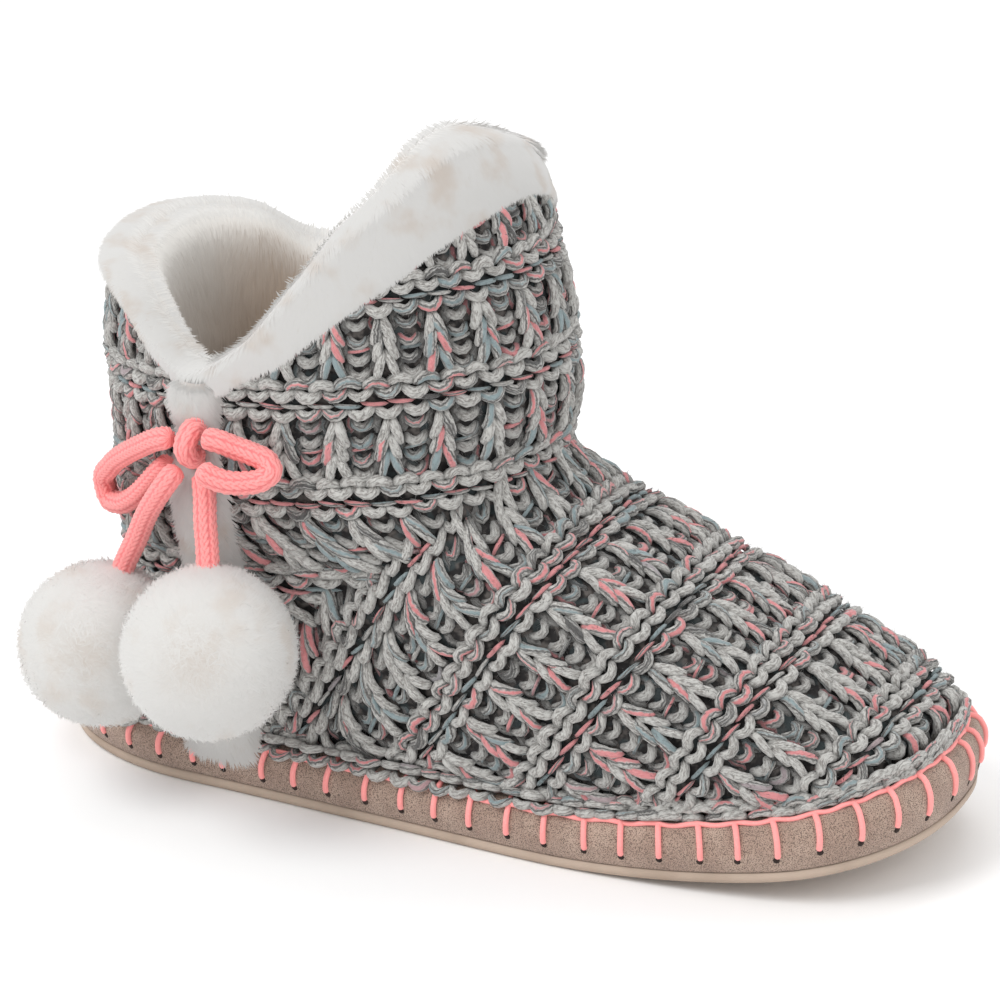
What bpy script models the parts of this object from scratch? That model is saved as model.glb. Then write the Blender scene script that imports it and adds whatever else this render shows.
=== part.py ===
"""A knitted bootie slipper for the right foot: soft sole, knitted upper, fur cuff, cord bow and two pompoms.

The toe points along +X, the inner side of the foot along +Y, and +Z is up. The origin lies on the floor,
half way along the sole. Every section is a share of the named sizes below.
"""

import math

import bmesh
import bpy
import numpy as np
from mathutils import Vector

# Sole, in metres
LENGTH = 0.250            # heel end to toe end, at the widest line of the sole's side
BALL_WIDTH = 0.088        # across the ball of the foot
OUTSOLE_THICK = 0.003
OUTSOLE_INSET = 0.0012    # how far the outsole stands back from the side above it
SIDE_HEIGHT = 0.0117      # the cloth-covered side of the midsole
SIDE_ROUND = 0.005        # how far the side's top edge rolls inwards
TOE_SPRING = 0.0137       # how far the outsole's toe end stands off the floor
TOE_RISE = 0.004          # how much taller the side is at the toe
SPRING_START = 0.60       # share of the length where the toe begins to rise
INSOLE_THICK = 0.006
INSOLE_CLEAR = 0.0012     # between the insole's edge and the knit around it

# Upper
WALL = 0.003              # knitted wall
INSTEP_HEIGHT = 0.097     # height of the crease in front of the ankle
SHAFT_SET = 0.0175        # the shaft's back stands this far in front of the heel end
SHAFT_LENGTH = 0.1255     # front to back, at the crease
SHAFT_WIDTH = 0.092
COLLAR_HEIGHT = 0.182     # top of the fur at the shin
NOTCH_HEIGHT = 0.124      # top of the fur at the bottom of the side notch

# Fur
FUR = 0.006               # depth of the pile
CUFF_BAND = 0.022         # how far the fur folds down over the knit
CUFF_LINING = 0.030       # how far the fur goes down inside the wall
PLACKET_WIDTH = 0.0155    # fur strip at the sole
PLACKET_NECK = 0.0085     # fur strip behind the knot
PLACKET_FUR = 0.005
PLACKET_THIN = 0.0014     # the fur strip where the knot presses on it
PLACKET_SET = 0.062       # the strip stands this far in front of the heel end
PLACKET_FOOT = 0.0115     # height of the strip's lower end
LOCK = 0.0022             # how far a lock of fur stands out

# Cord and pompoms
CORD = 0.0062             # diameter of the knitted cord
POMPOM_NEAR = 0.0225      # radius of the front pompom, without its locks
POMPOM_FAR = 0.0215       # radius of the rear pompom, without its locks
POMPOM_LOCK = 0.0015

GAP = 0.0003              # clearance between pieces that touch
CUFF_GAP = 0.0005         # the same, between the fur and the wall inside it

OUTSOLE_TOP = OUTSOLE_THICK
SIDE_BASE = OUTSOLE_TOP + GAP
SIDE_TOP = SIDE_BASE + SIDE_HEIGHT
UPPER_BASE = SIDE_TOP + GAP
HEEL_END = -LENGTH / 2
SHAFT_BACK = HEEL_END + SHAFT_SET
SHAFT_FRONT = SHAFT_BACK + SHAFT_LENGTH
TOP_LIFT = TOE_SPRING + TOE_RISE

AROUND = 54               # points around each section
SMOOTH_ANGLE = math.radians(40)

# The sole's outline: share of the length, then shares of half the ball width
OUTLINE_COLUMNS = ("station", "outer", "inner", "curve")
OUTLINE = (
    (0.00, 0.795, 0.750, 0.000),
    (0.16, 0.807, 0.761, 0.000),
    (0.42, 0.898, 0.807, 0.000),
    (0.66, 0.984, 0.977, 0.000),
    (0.84, 1.000, 1.011, 0.068),
    (1.00, 0.909, 0.955, 0.136),
)
HEEL_CAP = (0.19, 1.9)    # share of the length that the round end takes, and its fullness
TOE_CAP = (0.15, 2.4)

# Sections of the foot, sole to instep. height: share of the rise to the instep. back: share of
# SHAFT_SET from the heel end. front: share of the way from the shaft's front to the toe end.
# width: share of the sole's outline and of the shaft's width. shaft: 0 the sole's outline, 1 the
# shaft's ellipse. lift: share of the toe's rise.
FOOT_COLUMNS = ("height", "back", "front", "width", "shaft", "lift")
FOOT_SECTIONS = (
    (0.000, 0.44, 0.924, 0.88, 0.00, 1.000),
    (0.082, 0.40, 0.930, 0.95, 0.00, 0.930),
    (0.204, 0.60, 0.884, 0.97, 0.05, 0.690),
    (0.339, 0.86, 0.770, 0.97, 0.15, 0.390),
    (0.474, 0.99, 0.642, 0.97, 0.35, 0.170),
    (0.596, 0.99, 0.478, 0.97, 0.60, 0.062),
    (0.706, 0.99, 0.302, 1.00, 0.80, 0.015),
    (0.804, 0.99, 0.116, 1.01, 0.92, 0.000),
    (0.890, 1.00, 0.032, 1.02, 1.00, 0.000),
    (1.000, 1.00, 0.000, 1.03, 1.00, 0.000),
)
# Sections of the shaft, instep to collar. height: share of that rise. back and front: shares of
# SHAFT_LENGTH from the shaft's back. width: share of SHAFT_WIDTH.
SHAFT_COLUMNS = ("height", "back", "front", "width")
SHAFT_SECTIONS = (
    (0.174, -0.013, 1.002, 1.04),
    (0.384, 0.003, 0.986, 1.04),
    (0.616, 0.030, 0.946, 1.03),
    (0.872, 0.058, 0.872, 1.02),
    (1.000, 0.072, 0.828, 1.01),
)
SHAFT_ROWS = (0.17, 0.34, 0.51, 0.68, 0.84, 1.0)

# The collar, by the angle around the shaft in degrees: 0 the shin, 90 the inner side.
# crest: share of the way from NOTCH_HEIGHT to COLLAR_HEIGHT. band: share of CUFF_BAND. proud: how
# far the fur stands out from the knit, as a share of FUR.
COLLAR_COLUMNS = ("angle", "crest", "band", "proud")
COLLAR = (
    (-160, 0.310, 0.41, 0.10), (-140, 0.285, 0.39, 0.15), (-128, 0.210, 0.43, 0.20),
    (-118, 0.102, 0.43, 0.30), (-106, 0.000, 0.48, 0.40), (-95, 0.119, 0.55, 0.45),
    (-82, 0.390, 0.86, 0.50), (-68, 0.644, 1.00, 0.50), (-54, 0.797, 1.00, 0.45),
    (-38, 0.941, 1.02, 0.35), (-19, 1.000, 0.95, 0.25), (0, 0.960, 0.82, 0.20),
    (20, 0.860, 0.82, 0.25), (45, 0.660, 0.82, 0.40), (64, 0.525, 0.82, 0.50),
    (86, 0.339, 0.73, 0.45), (100, 0.203, 0.64, 0.35), (114, 0.120, 0.55, 0.25),
    (134, 0.275, 0.45, 0.15), (156, 0.335, 0.39, 0.10),
)

# Where the cuff's section lies against the wall, inside and then outside: shares of the way from the
# fur's edge to the rim
CUFF_SEAT = ((-1, 0.35), (-1, 0.70), (-1, 1.00), (1, 1.00), (1, 0.50))

# Side profiles: height as a share of the piece, and how far it stands in, as a share of its round
SIDE_PROFILE = ((0.00, 0.26), (0.18, 0.10), (0.44, 0.00), (0.74, 0.16), (0.93, 0.58), (1.00, 1.00))
OUTSOLE_PROFILE = ((0.00, 1.60), (0.22, 1.00), (1.00, 1.00))
INSOLE_PROFILE = ((0.00, 0.0), (0.80, 0.0), (1.00, 1.0))
INSOLE_EDGE = 0.0012

# The cuff's section. side: +1 outer face, 0 over the rim, -1 inner face. out: share of the fur's
# depth from the wall. up: share of the way from the band's edge, or from the lining's edge, to the crest.
CUFF_COLUMNS = ("side", "out", "up")
CUFF_SECTION = (
    (1, 0.00, 0.00), (1, 0.55, 0.00), (1, 0.95, 0.22), (1, 1.05, 0.52), (1, 0.90, 0.80),
    (0, 0.00, 1.00),
    (-1, 0.85, 0.88), (-1, 0.95, 0.62), (-1, 0.80, 0.30), (-1, 0.55, 0.00), (-1, 0.00, 0.00),
)

# Routes of the bow's cord, in millimetres, chosen by hand around the knot
KNOT_ROUTE = (
    (-60.5, -48.5, 106.6), (-61.0, -52.6, 106.8), (-61.6, -55.4, 103.3),
    (-61.4, -53.4, 99.9), (-60.7, -49.0, 99.4),
)
LOOP_REAR_ROUTE = (
    (-66.1, -54.6, 104.8), (-71.4, -52.4, 102.6), (-77.2, -48.6, 99.0), (-84.6, -43.4, 94.0),
    (-93.2, -36.4, 87.0), (-98.6, -31.2, 79.6), (-97.6, -31.0, 75.4), (-92.0, -34.8, 76.0),
    (-85.8, -38.9, 80.0), (-79.6, -43.2, 85.8), (-74.2, -46.6, 91.4), (-69.4, -49.2, 95.6),
)
LOOP_FRONT_ROUTE = (
    (-56.9, -55.4, 106.4), (-52.2, -54.9, 105.8), (-48.6, -53.4, 104.2), (-43.9, -52.9, 103.0),
    (-40.0, -53.2, 101.7), (-38.4, -54.6, 99.8), (-40.2, -56.0, 98.0), (-44.2, -57.4, 97.0),
    (-48.0, -59.2, 97.2), (-52.0, -60.6, 98.6), (-55.0, -61.6, 100.8),
)
END_REAR_ROUTE = (
    (-63.4, -56.4, 97.6), (-66.4, -56.8, 93.4), (-70.8, -54.8, 87.6), (-75.9, -51.0, 80.6),
    (-80.4, -48.2, 72.6), (-84.4, -46.9, 65.4), (-87.0, -48.6, 57.0), (-89.6, -51.9, 43.9),
)
END_FRONT_ROUTE = (
    (-59.0, -51.8, 95.6), (-57.4, -53.8, 90.6), (-56.6, -55.4, 84.0), (-56.0, -56.0, 79.0),
    (-55.2, -57.2, 74.0), (-54.0, -59.6, 66.0), (-52.5, -63.0, 52.3),
)
MM = 0.001


def clear_scene():
    for old in list(bpy.data.objects):
        bpy.data.objects.remove(old, do_unlink=True)


def new_collection(name):
    group = bpy.data.collections.new(name)
    bpy.context.scene.collection.children.link(group)
    return group


def material(name, colour, roughness):
    """A Principled finish with one plain colour."""
    made = bpy.data.materials.new(name)
    made.use_nodes = True
    shader = made.node_tree.nodes["Principled BSDF"]
    shader.inputs["Base Color"].default_value = (*colour, 1.0)
    shader.inputs["Roughness"].default_value = roughness
    shader.inputs["Metallic"].default_value = 0.0
    return made


def column(table, names, name):
    """One named column of a table."""
    return np.array([row[names.index(name)] for row in table], dtype=float)


def smooth(x, xs, ys):
    """A curve through the points (xs, ys) whose slopes are those of the neighbouring points."""
    x = np.clip(x, xs[0], xs[-1])
    slopes = np.gradient(ys, xs)
    i = np.clip(np.searchsorted(xs, x, side="right") - 1, 0, len(xs) - 2)
    step = xs[i + 1] - xs[i]
    s = (x - xs[i]) / step
    return (
        (1 + 2 * s) * (1 - s) ** 2 * ys[i] + s * (1 - s) ** 2 * step * slopes[i]
        + s ** 2 * (3 - 2 * s) * ys[i + 1] + s ** 2 * (s - 1) * step * slopes[i + 1]
    )


def end_cap(share, reach, fullness):
    """1 along the shoe, falling to 0 at its end as a super-ellipse."""
    inside = np.clip(share / reach, 0.0, 1.0)
    return (1 - (1 - inside) ** fullness) ** (1 / fullness)


def outline(station, angle):
    """Half width of the sole's outline on the side that angle points to, and its sideways curve."""
    stations = column(OUTLINE, OUTLINE_COLUMNS, "station")
    outer = smooth(station, stations, column(OUTLINE, OUTLINE_COLUMNS, "outer"))
    inner = smooth(station, stations, column(OUTLINE, OUTLINE_COLUMNS, "inner"))
    curve = smooth(station, stations, column(OUTLINE, OUTLINE_COLUMNS, "curve"))
    cap = end_cap(station, *HEEL_CAP) * end_cap(1 - station, *TOE_CAP)
    half = np.where(np.sin(angle) < 0, -outer, inner) * cap
    return half * BALL_WIDTH / 2, curve * BALL_WIDTH / 2


def toe_curve(x):
    """Share of the toe's rise at the length x: flat, then a parabola up to the toe end."""
    station = (x - HEEL_END) / LENGTH
    return np.clip((station - SPRING_START) / (1 - SPRING_START), 0, None) ** 2


def section_levels():
    """All sections of the upper as arrays: height, back, front, width, shaft, lift."""
    foot = {name: column(FOOT_SECTIONS, FOOT_COLUMNS, name) for name in FOOT_COLUMNS}
    shaft = {name: column(SHAFT_SECTIONS, SHAFT_COLUMNS, name) for name in SHAFT_COLUMNS}
    above = np.ones(len(SHAFT_SECTIONS))
    return {
        "height": np.concatenate([
            UPPER_BASE + foot["height"] * (INSTEP_HEIGHT - UPPER_BASE),
            INSTEP_HEIGHT + shaft["height"] * (COLLAR_HEIGHT - INSTEP_HEIGHT)]),
        "back": np.concatenate([
            HEEL_END + foot["back"] * SHAFT_SET, SHAFT_BACK + shaft["back"] * SHAFT_LENGTH]),
        "front": np.concatenate([
            SHAFT_FRONT + foot["front"] * (LENGTH / 2 - SHAFT_FRONT),
            SHAFT_BACK + shaft["front"] * SHAFT_LENGTH]),
        "width": np.concatenate([foot["width"], shaft["width"]]),
        "shaft": np.concatenate([foot["shaft"], above]),
        "lift": np.concatenate([foot["lift"], 0 * above]),
    }


LEVELS = section_levels()


def at_level(name, height):
    return smooth(height, LEVELS["height"], LEVELS[name])


def wall(angle, height):
    """The upper's outer face: the section at this height, at this angle around it."""
    back, front = at_level("back", height), at_level("front", height)
    width, shaft = at_level("width", height), at_level("shaft", height)
    station = (1 + np.cos(angle)) / 2
    x = back + (front - back) * station
    half, curve = outline(station, angle)
    y = (1 - shaft) * (half * width + curve) + shaft * width * np.sin(angle) * SHAFT_WIDTH / 2
    z = height + at_level("lift", height) * TOP_LIFT * toe_curve(x)
    return np.stack([x, y, z], axis=-1)


def outward(angle, height):
    """The unit direction that points straight out of the upper's outer face."""
    step_angle, step_height = 1e-3, 1e-4
    along = wall(angle + step_angle, height) - wall(angle - step_angle, height)
    up = wall(angle, height + step_height) - wall(angle, height - step_height)
    normal = np.cross(along, up)
    return normal / np.linalg.norm(normal, axis=-1, keepdims=True)


def collar(angle):
    """Heights of the fur's crest, of the rim below it and of the band's edge, and the fur's depth."""
    degrees = column(COLLAR, COLLAR_COLUMNS, "angle")
    around = np.concatenate([degrees - 360, degrees, degrees + 360])
    turned = (np.degrees(angle) + 180) % 360 - 180
    crest, band, proud = (
        smooth(turned, around, np.tile(column(COLLAR, COLLAR_COLUMNS, name), 3))
        for name in ("crest", "band", "proud"))
    crest = NOTCH_HEIGHT + crest * (COLLAR_HEIGHT - NOTCH_HEIGHT)
    return crest, crest - FUR, crest - band * CUFF_BAND, proud * FUR


def sole_ring(base, height, inset, lift):
    """One line around the sole: its outline, moved in by inset and lifted at the toe."""
    angle = np.linspace(0, 2 * math.pi, AROUND, endpoint=False)
    x = (LENGTH / 2 - inset) * np.cos(angle)
    half, curve = outline((np.cos(angle) + 1) / 2, angle)
    y = half * (1 - inset / (BALL_WIDTH / 2)) + curve
    z = base + height + lift * toe_curve(x)
    return np.stack([x, y, z], axis=-1)


def moved_in(ring, distance):
    """A flat ring moved inwards by the same distance all round."""
    along = np.roll(ring, -1, axis=0) - np.roll(ring, 1, axis=0)
    across = np.stack([along[:, 1], -along[:, 0], 0 * along[:, 2]], axis=-1)
    across /= np.linalg.norm(across, axis=-1, keepdims=True)
    return ring - across * distance


def finish(body, name, look, group):
    """Makes the mesh of a piece, with its look."""
    mesh = bpy.data.meshes.new(name)
    body.to_mesh(mesh)
    body.free()
    mesh.shade_smooth()
    mesh.set_sharp_from_angle(angle=SMOOTH_ANGLE)
    mesh.materials.append(look)
    piece = bpy.data.objects.new(name, mesh)
    group.objects.link(piece)
    return piece


def add_rings(body, rings, close_rows=False):
    """Joins neighbouring rings with faces, and returns the rings of vertices and the rows of faces."""
    verts = [[body.verts.new(Vector(point)) for point in ring] for ring in rings]
    count = len(verts[0])
    rows = []
    last = len(verts) if close_rows else len(verts) - 1
    for i in range(last):
        lower, upper = verts[i], verts[(i + 1) % len(verts)]
        rows.append([
            body.faces.new((lower[j], lower[(j + 1) % count], upper[(j + 1) % count], upper[j]))
            for j in range(count)])
    return verts, rows


def add_caps(body, verts):
    """Closes the lowest and highest rings with strips across the shoe, so a level part stays flat."""
    for ring, turn in ((verts[0], -1), (verts[-1], 1)):
        count = len(ring)
        for k in range(count // 2):
            corners = [ring[k], ring[k + 1], ring[-k - 1], ring[-k % count]]
            body.faces.new(list(dict.fromkeys(corners))[::turn])


def add_locks(body, faces, length, droop):
    """Raises each face to a point that leans along droop, as one lock of fur."""
    made = bmesh.ops.poke(body, faces=faces, offset=length, center_mode="MEAN_WEIGHTED")
    for tip in made["verts"]:
        tip.co += droop


def sole_piece(name, base, thickness, profile, rounding, lifts, look, group):
    """A layer of the sole: rings up its side, closed below and above."""
    body = bmesh.new()
    rings = [
        sole_ring(base, share * thickness, rounding * inset,
                  lifts[0] + share * (lifts[1] - lifts[0]))
        for share, inset in profile]
    add_caps(body, add_rings(body, rings)[0])
    return finish(body, name, look, group)


def insole_piece(look, group):
    """The footbed, cut to the inside of the upper's lowest section."""
    angle = np.linspace(0, 2 * math.pi, AROUND, endpoint=False)
    edge = moved_in(wall(angle, np.full(AROUND, UPPER_BASE)), WALL + INSOLE_CLEAR)
    body = bmesh.new()
    rings = []
    for share, inset in INSOLE_PROFILE:
        ring = moved_in(edge, inset * INSOLE_EDGE)
        ring[:, 2] = UPPER_BASE + share * INSOLE_THICK + TOP_LIFT * toe_curve(ring[:, 0])
        rings.append(ring)
    add_caps(body, add_rings(body, rings)[0])
    return finish(body, "insole", look, group)


def upper_piece(look, group):
    """The knitted wall, one open surface from the sole to the collar, thickened inwards."""
    angle = np.linspace(0, 2 * math.pi, AROUND, endpoint=False)
    rim = collar(angle)[1]
    foot = LEVELS["height"][:len(FOOT_SECTIONS)]
    heights = [np.full(AROUND, level) for level in foot]
    heights += [INSTEP_HEIGHT + share * (rim - INSTEP_HEIGHT) for share in SHAFT_ROWS]
    body = bmesh.new()
    add_rings(body, [wall(angle, height) for height in heights])
    piece = finish(body, "upper", look, group)
    shell = piece.modifiers.new("wall", "SOLIDIFY")
    shell.thickness = WALL
    shell.offset = -1
    shell.use_even_offset = True
    return piece


def cuff_piece(look, group):
    """The fur folded over the rim: a closed ring whose section is an upturned U."""
    angle = np.linspace(0, 2 * math.pi, AROUND, endpoint=False)
    crest, rim, edge, proud = collar(angle)
    lining = rim - CUFF_LINING

    def ring(level, offset):
        """The wall's own section at this level, or at the rim above it, moved off the wall."""
        base = np.minimum(level, rim)
        flat = outward(angle, base) * np.array([1.0, 1.0, 0.0])
        flat /= np.sum(flat ** 2, axis=-1, keepdims=True)
        made = wall(angle, base) + flat * np.reshape(offset, (-1, 1))
        made[:, 2] = level
        return made

    rings = []
    for side, out, up in CUFF_SECTION:
        low = edge if side > 0 else lining
        inner = -WALL - CUFF_GAP - out * FUR
        offset = {1: CUFF_GAP + out * proud, 0: (proud - WALL - FUR) / 2, -1: inner}[side]
        rings.append(ring(low + up * (crest - low), offset))
    for side, up in CUFF_SEAT:
        low = edge if side > 0 else lining
        offset = CUFF_GAP if side > 0 else -WALL - CUFF_GAP
        rings.append(ring(low + up * (rim + GAP - low), offset))
    body = bmesh.new()
    rows = add_rings(body, rings, close_rows=True)[1]
    hairy = [face for row in rows[1:9] for face in row]
    add_locks(body, hairy, LOCK, Vector((0.0, 0.0, -LOCK / 2)))
    return finish(body, "cuff", look, group)


def strip_base(x, height):
    """Outer side of the shoe at the length x: the wall, then the sole's side below it."""
    back, front = at_level("back", height), at_level("front", height)
    turn = -np.arccos(np.clip(2 * (x - back) / (front - back) - 1, -1, 1))
    y = wall(turn, height)[..., 1]
    widest = outline((x - HEEL_END) / LENGTH, turn)[0]
    tuck = UPPER_BASE + SIDE_HEIGHT
    bulge = SIDE_BASE + SIDE_PROFILE[2][0] * SIDE_HEIGHT
    hang = np.clip((tuck - height) / (tuck - bulge), 0, 1)
    tucked = wall(turn, np.maximum(height, tuck))[..., 1]
    return np.where(height < tuck, tucked + (widest - tucked) * hang, y)


def placket_piece(look, group):
    """The fur strip from the notch down over the sole's side."""
    top = collar(np.radians(COLLAR[4][0]))[2] - LOCK
    rows, columns = 15, 5
    centre = HEEL_END + PLACKET_SET
    share = np.linspace(0, 1, rows)[:, None]
    across = np.linspace(-1, 1, columns)[None, :]
    height = top + share * (PLACKET_FOOT - top) + 0 * across
    pressed = np.clip((height - (INSTEP_HEIGHT - 2 * CORD)) / (2 * CORD), 0, 1)
    half = PLACKET_WIDTH / 2 + (PLACKET_NECK - PLACKET_WIDTH) / 2 * (1 - share) ** 1.5
    x = centre + half * across
    y = strip_base(x, np.maximum(height, PLACKET_FOOT))
    deep = PLACKET_FUR + (PLACKET_THIN - PLACKET_FUR) * pressed
    proud = deep * (1 - 0.5 * across ** 2)
    inner = np.stack([x, y - GAP, height], axis=-1)
    outer = np.stack([x, y - GAP - proud, height], axis=-1)
    body = bmesh.new()
    rings = [np.concatenate([inner[i], outer[i, ::-1]]) for i in range(rows)]
    verts, faces = add_rings(body, rings)
    for ring, turn in ((verts[0], -1), (verts[-1], 1)):
        for j in range(columns - 1):
            body.faces.new((ring[j], ring[j + 1], ring[-j - 2], ring[-j - 1])[::turn])
    loose = [row[j] for row in faces[4:] for j in range(columns, 2 * columns - 1)]
    add_locks(body, loose, LOCK, Vector((0.0, 0.0, -LOCK)))
    return finish(body, "placket", look, group)


def route_points(route, spacing):
    """Points at even spacing on a smooth curve through a route's own points."""
    given = np.array(route) * MM
    legs = np.linalg.norm(np.diff(given, axis=0), axis=1)
    at = np.concatenate([[0], np.cumsum(legs)])
    count = max(4, int(round(at[-1] / spacing)) + 1)
    even = np.linspace(0, at[-1], count)
    return np.stack([smooth(even, at, given[:, axis]) for axis in range(3)], axis=-1)


def stopped_at(points, centre, radius):
    """The part of a route outside a ball, ended on the ball."""
    away = np.linalg.norm(points - centre, axis=1)
    last = int(np.argmax(away < radius))
    share = (away[last - 1] - radius) / (away[last - 1] - away[last])
    end = points[last - 1] + share * (points[last] - points[last - 1])
    return np.concatenate([points[:last], [end]])


def cord_piece(name, points, look, group):
    """A length of the cord, as a tube with closed ends."""
    curve = bpy.data.curves.new(name, "CURVE")
    curve.dimensions = "3D"
    curve.bevel_depth = CORD / 2
    curve.bevel_resolution = 2
    curve.use_fill_caps = True
    spline = curve.splines.new("POLY")
    spline.points.add(len(points) - 1)
    for target, point in zip(spline.points, points):
        target.co = (*point, 1.0)
    curve.materials.append(look)
    piece = bpy.data.objects.new(name, curve)
    group.objects.link(piece)
    return piece


def outside_shoe(points, margin):
    """Whether each point is clear of the upper and of the sole's side by the margin."""
    x, y, z = points[..., 0], points[..., 1], points[..., 2]
    height = np.maximum(z, UPPER_BASE + SIDE_HEIGHT)
    back, front = at_level("back", height) - margin, at_level("front", height) + margin
    turn = -np.arccos(np.clip(2 * (x - back) / (front - back) - 1, -1, 1))
    side = wall(turn, height)[..., 1]
    fur = np.abs(x - HEEL_END - PLACKET_SET) < PLACKET_WIDTH / 2 + LOCK + margin
    side = side - margin - np.where(fur, PLACKET_FUR + LOCK, 0)
    low = z < UPPER_BASE + SIDE_HEIGHT
    sole = outline(np.clip((x - HEEL_END) / LENGTH, 0, 1), turn)[0] - margin
    side = np.where(low, np.minimum(side, sole - np.where(fur, PLACKET_FUR + LOCK, 0)), side)
    return (y < side) | (x < np.where(low, HEEL_END - margin, back))


def pompom_piece(name, centre, radius, other, other_radius, look, group):
    """A ball of locks, flattened where it lies on the shoe and on the other pompom."""
    bpy.ops.mesh.primitive_ico_sphere_add(subdivisions=3, radius=radius)
    ball = bpy.context.object
    body = bmesh.new()
    body.from_mesh(ball.data)
    bpy.data.objects.remove(ball, do_unlink=True)
    add_locks(body, list(body.faces), POMPOM_LOCK, Vector((0.0, 0.0, 0.0)))
    spokes = np.array([vert.co for vert in body.verts])
    shares = np.linspace(1.0, 0.3, 141)[:, None, None]
    trial = centre + shares * spokes
    apart = other - centre
    distance = np.linalg.norm(apart)
    face = (distance ** 2 + radius ** 2 - other_radius ** 2) / (2 * distance)
    free = outside_shoe(trial, GAP) & ((trial - centre) @ (apart / distance) < face - GAP / 2)
    best = shares[np.argmax(free, axis=0), 0, 0]
    for vert, share in zip(body.verts, best):
        vert.co = Vector(centre) + vert.co * float(share)
    return finish(body, name, look, group)


def build():
    clear_scene()
    group = new_collection("bootie slipper")
    suede = material("taupe suede cloth", (0.43, 0.30, 0.23), 0.9)
    tread = material("pale sole", (0.52, 0.44, 0.34), 0.8)
    lining = material("cream lining", (0.72, 0.67, 0.60), 0.95)
    knit = material("marled knit", (0.24, 0.21, 0.20), 0.95)
    fur = material("cream fur", (0.80, 0.77, 0.72), 1.0)
    coral = material("coral cord", (0.86, 0.22, 0.22), 0.9)

    sole_piece("outsole", 0.0, OUTSOLE_THICK, OUTSOLE_PROFILE, OUTSOLE_INSET,
               (TOE_SPRING, TOE_SPRING), tread, group)
    sole_piece("midsole", SIDE_BASE, SIDE_HEIGHT, SIDE_PROFILE, SIDE_ROUND,
               (TOE_SPRING, TOP_LIFT), suede, group)
    insole_piece(lining, group)
    upper_piece(knit, group)
    cuff_piece(fur, group)
    placket_piece(fur, group)

    cord_piece("bow_knot", route_points(KNOT_ROUTE, CORD / 3), coral, group)
    cord_piece("bow_loop_rear", route_points(LOOP_REAR_ROUTE, CORD / 1.6), coral, group)
    cord_piece("bow_loop_front", route_points(LOOP_FRONT_ROUTE, CORD / 1.8), coral, group)
    pompoms = (
        ("rear", END_REAR_ROUTE, POMPOM_FAR, END_FRONT_ROUTE, POMPOM_NEAR),
        ("front", END_FRONT_ROUTE, POMPOM_NEAR, END_REAR_ROUTE, POMPOM_FAR),
    )
    for place, route, radius, other_route, other_radius in pompoms:
        centre = np.array(route[-1]) * MM
        other = np.array(other_route[-1]) * MM
        reach = radius + POMPOM_LOCK + GAP
        cord = stopped_at(route_points(route, CORD / 2), centre, reach)
        cord_piece("bow_end_" + place, cord, coral, group)
        pompom_piece("pompom_" + place, centre, radius, other, other_radius, fur, group)


build()
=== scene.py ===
"""Looks of a knitted bootie slipper: its yarn, fur, bow, pompoms, stitches and sole.

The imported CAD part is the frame. Its toe points along +X, its outer side along -Y, and +Z is up. The
upper's function is the one that the part was made from, so every stitch lies on the same form. The
script works in metres, but a cord's route and the tables of stitches are in millimetres.
"""

import logging
import math
from dataclasses import dataclass, field
from enum import Enum
from typing import Any, Sequence

import bpy
import numpy as np
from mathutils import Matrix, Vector


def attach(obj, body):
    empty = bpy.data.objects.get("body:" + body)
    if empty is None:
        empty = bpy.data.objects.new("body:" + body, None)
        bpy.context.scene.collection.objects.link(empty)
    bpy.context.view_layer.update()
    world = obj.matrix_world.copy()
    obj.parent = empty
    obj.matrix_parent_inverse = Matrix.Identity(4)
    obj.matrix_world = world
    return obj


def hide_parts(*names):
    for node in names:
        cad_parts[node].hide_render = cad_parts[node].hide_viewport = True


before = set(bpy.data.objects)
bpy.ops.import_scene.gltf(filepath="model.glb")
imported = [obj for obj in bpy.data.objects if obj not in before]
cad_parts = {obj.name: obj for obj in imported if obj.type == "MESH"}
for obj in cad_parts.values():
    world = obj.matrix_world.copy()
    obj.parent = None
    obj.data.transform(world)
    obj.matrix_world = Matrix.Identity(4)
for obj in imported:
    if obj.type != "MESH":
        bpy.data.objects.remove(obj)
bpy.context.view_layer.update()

LOG = logging.getLogger("bootie")
BODY = "root"
MM = 0.001
UP = np.array([0.0, 0.0, 1.0])
FLAT = np.array([1.0, 1.0, 0.0])

Array = np.ndarray
Colour = tuple[float, float, float]


class Slot(Enum):
    """The record's material slots."""

    TREAD = "tread"
    SUEDE = "suede"
    LINING = "lining"
    KNIT = "knit"
    FUR = "fur"
    CORAL = "coral"


class Stitch(Enum):
    """The kinds of yarn run in the knit."""

    ARCH = "arch"
    BOWL = "bowl"
    LINE = "line"
    LEG = "leg"
    SUNK = "sunk"
    UNDER = "under"


def smooth(x: Array, xs: Array, ys: Array) -> Array:
    """A curve through given points, whose slope at each is that of its neighbours.

    Args:
        x: Where to read the curve.
        xs: The given places, in rising order.
        ys: The given values.

    Returns:
        The curve's value at each x, by cubic Hermite pieces.
    """
    x = np.clip(x, xs[0], xs[-1])
    slopes = np.gradient(ys, xs)
    i = np.clip(np.searchsorted(xs, x, side="right") - 1, 0, len(xs) - 2)
    step = xs[i + 1] - xs[i]
    s = (x - xs[i]) / step
    return (
        (1 + 2 * s) * (1 - s) ** 2 * ys[i] + s * (1 - s) ** 2 * step * slopes[i]
        + s**2 * (3 - 2 * s) * ys[i + 1] + s**2 * (s - 1) * step * slopes[i + 1]
    )


def unit(vectors: Array) -> Array:
    """Each vector divided by its length."""
    return vectors / np.maximum(np.linalg.norm(vectors, axis=-1, keepdims=True), 1e-12)


def bell(x: Array, width: float) -> Array:
    """1 at nought, falling away smoothly on both sides over the width."""
    return np.exp(-((x / width) ** 2))


def rise(x: Array, start: float, width: float) -> Array:
    """0 up to the start, then a straight rise over the width to 1."""
    return np.clip((x - start) / width, 0, 1)


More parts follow.
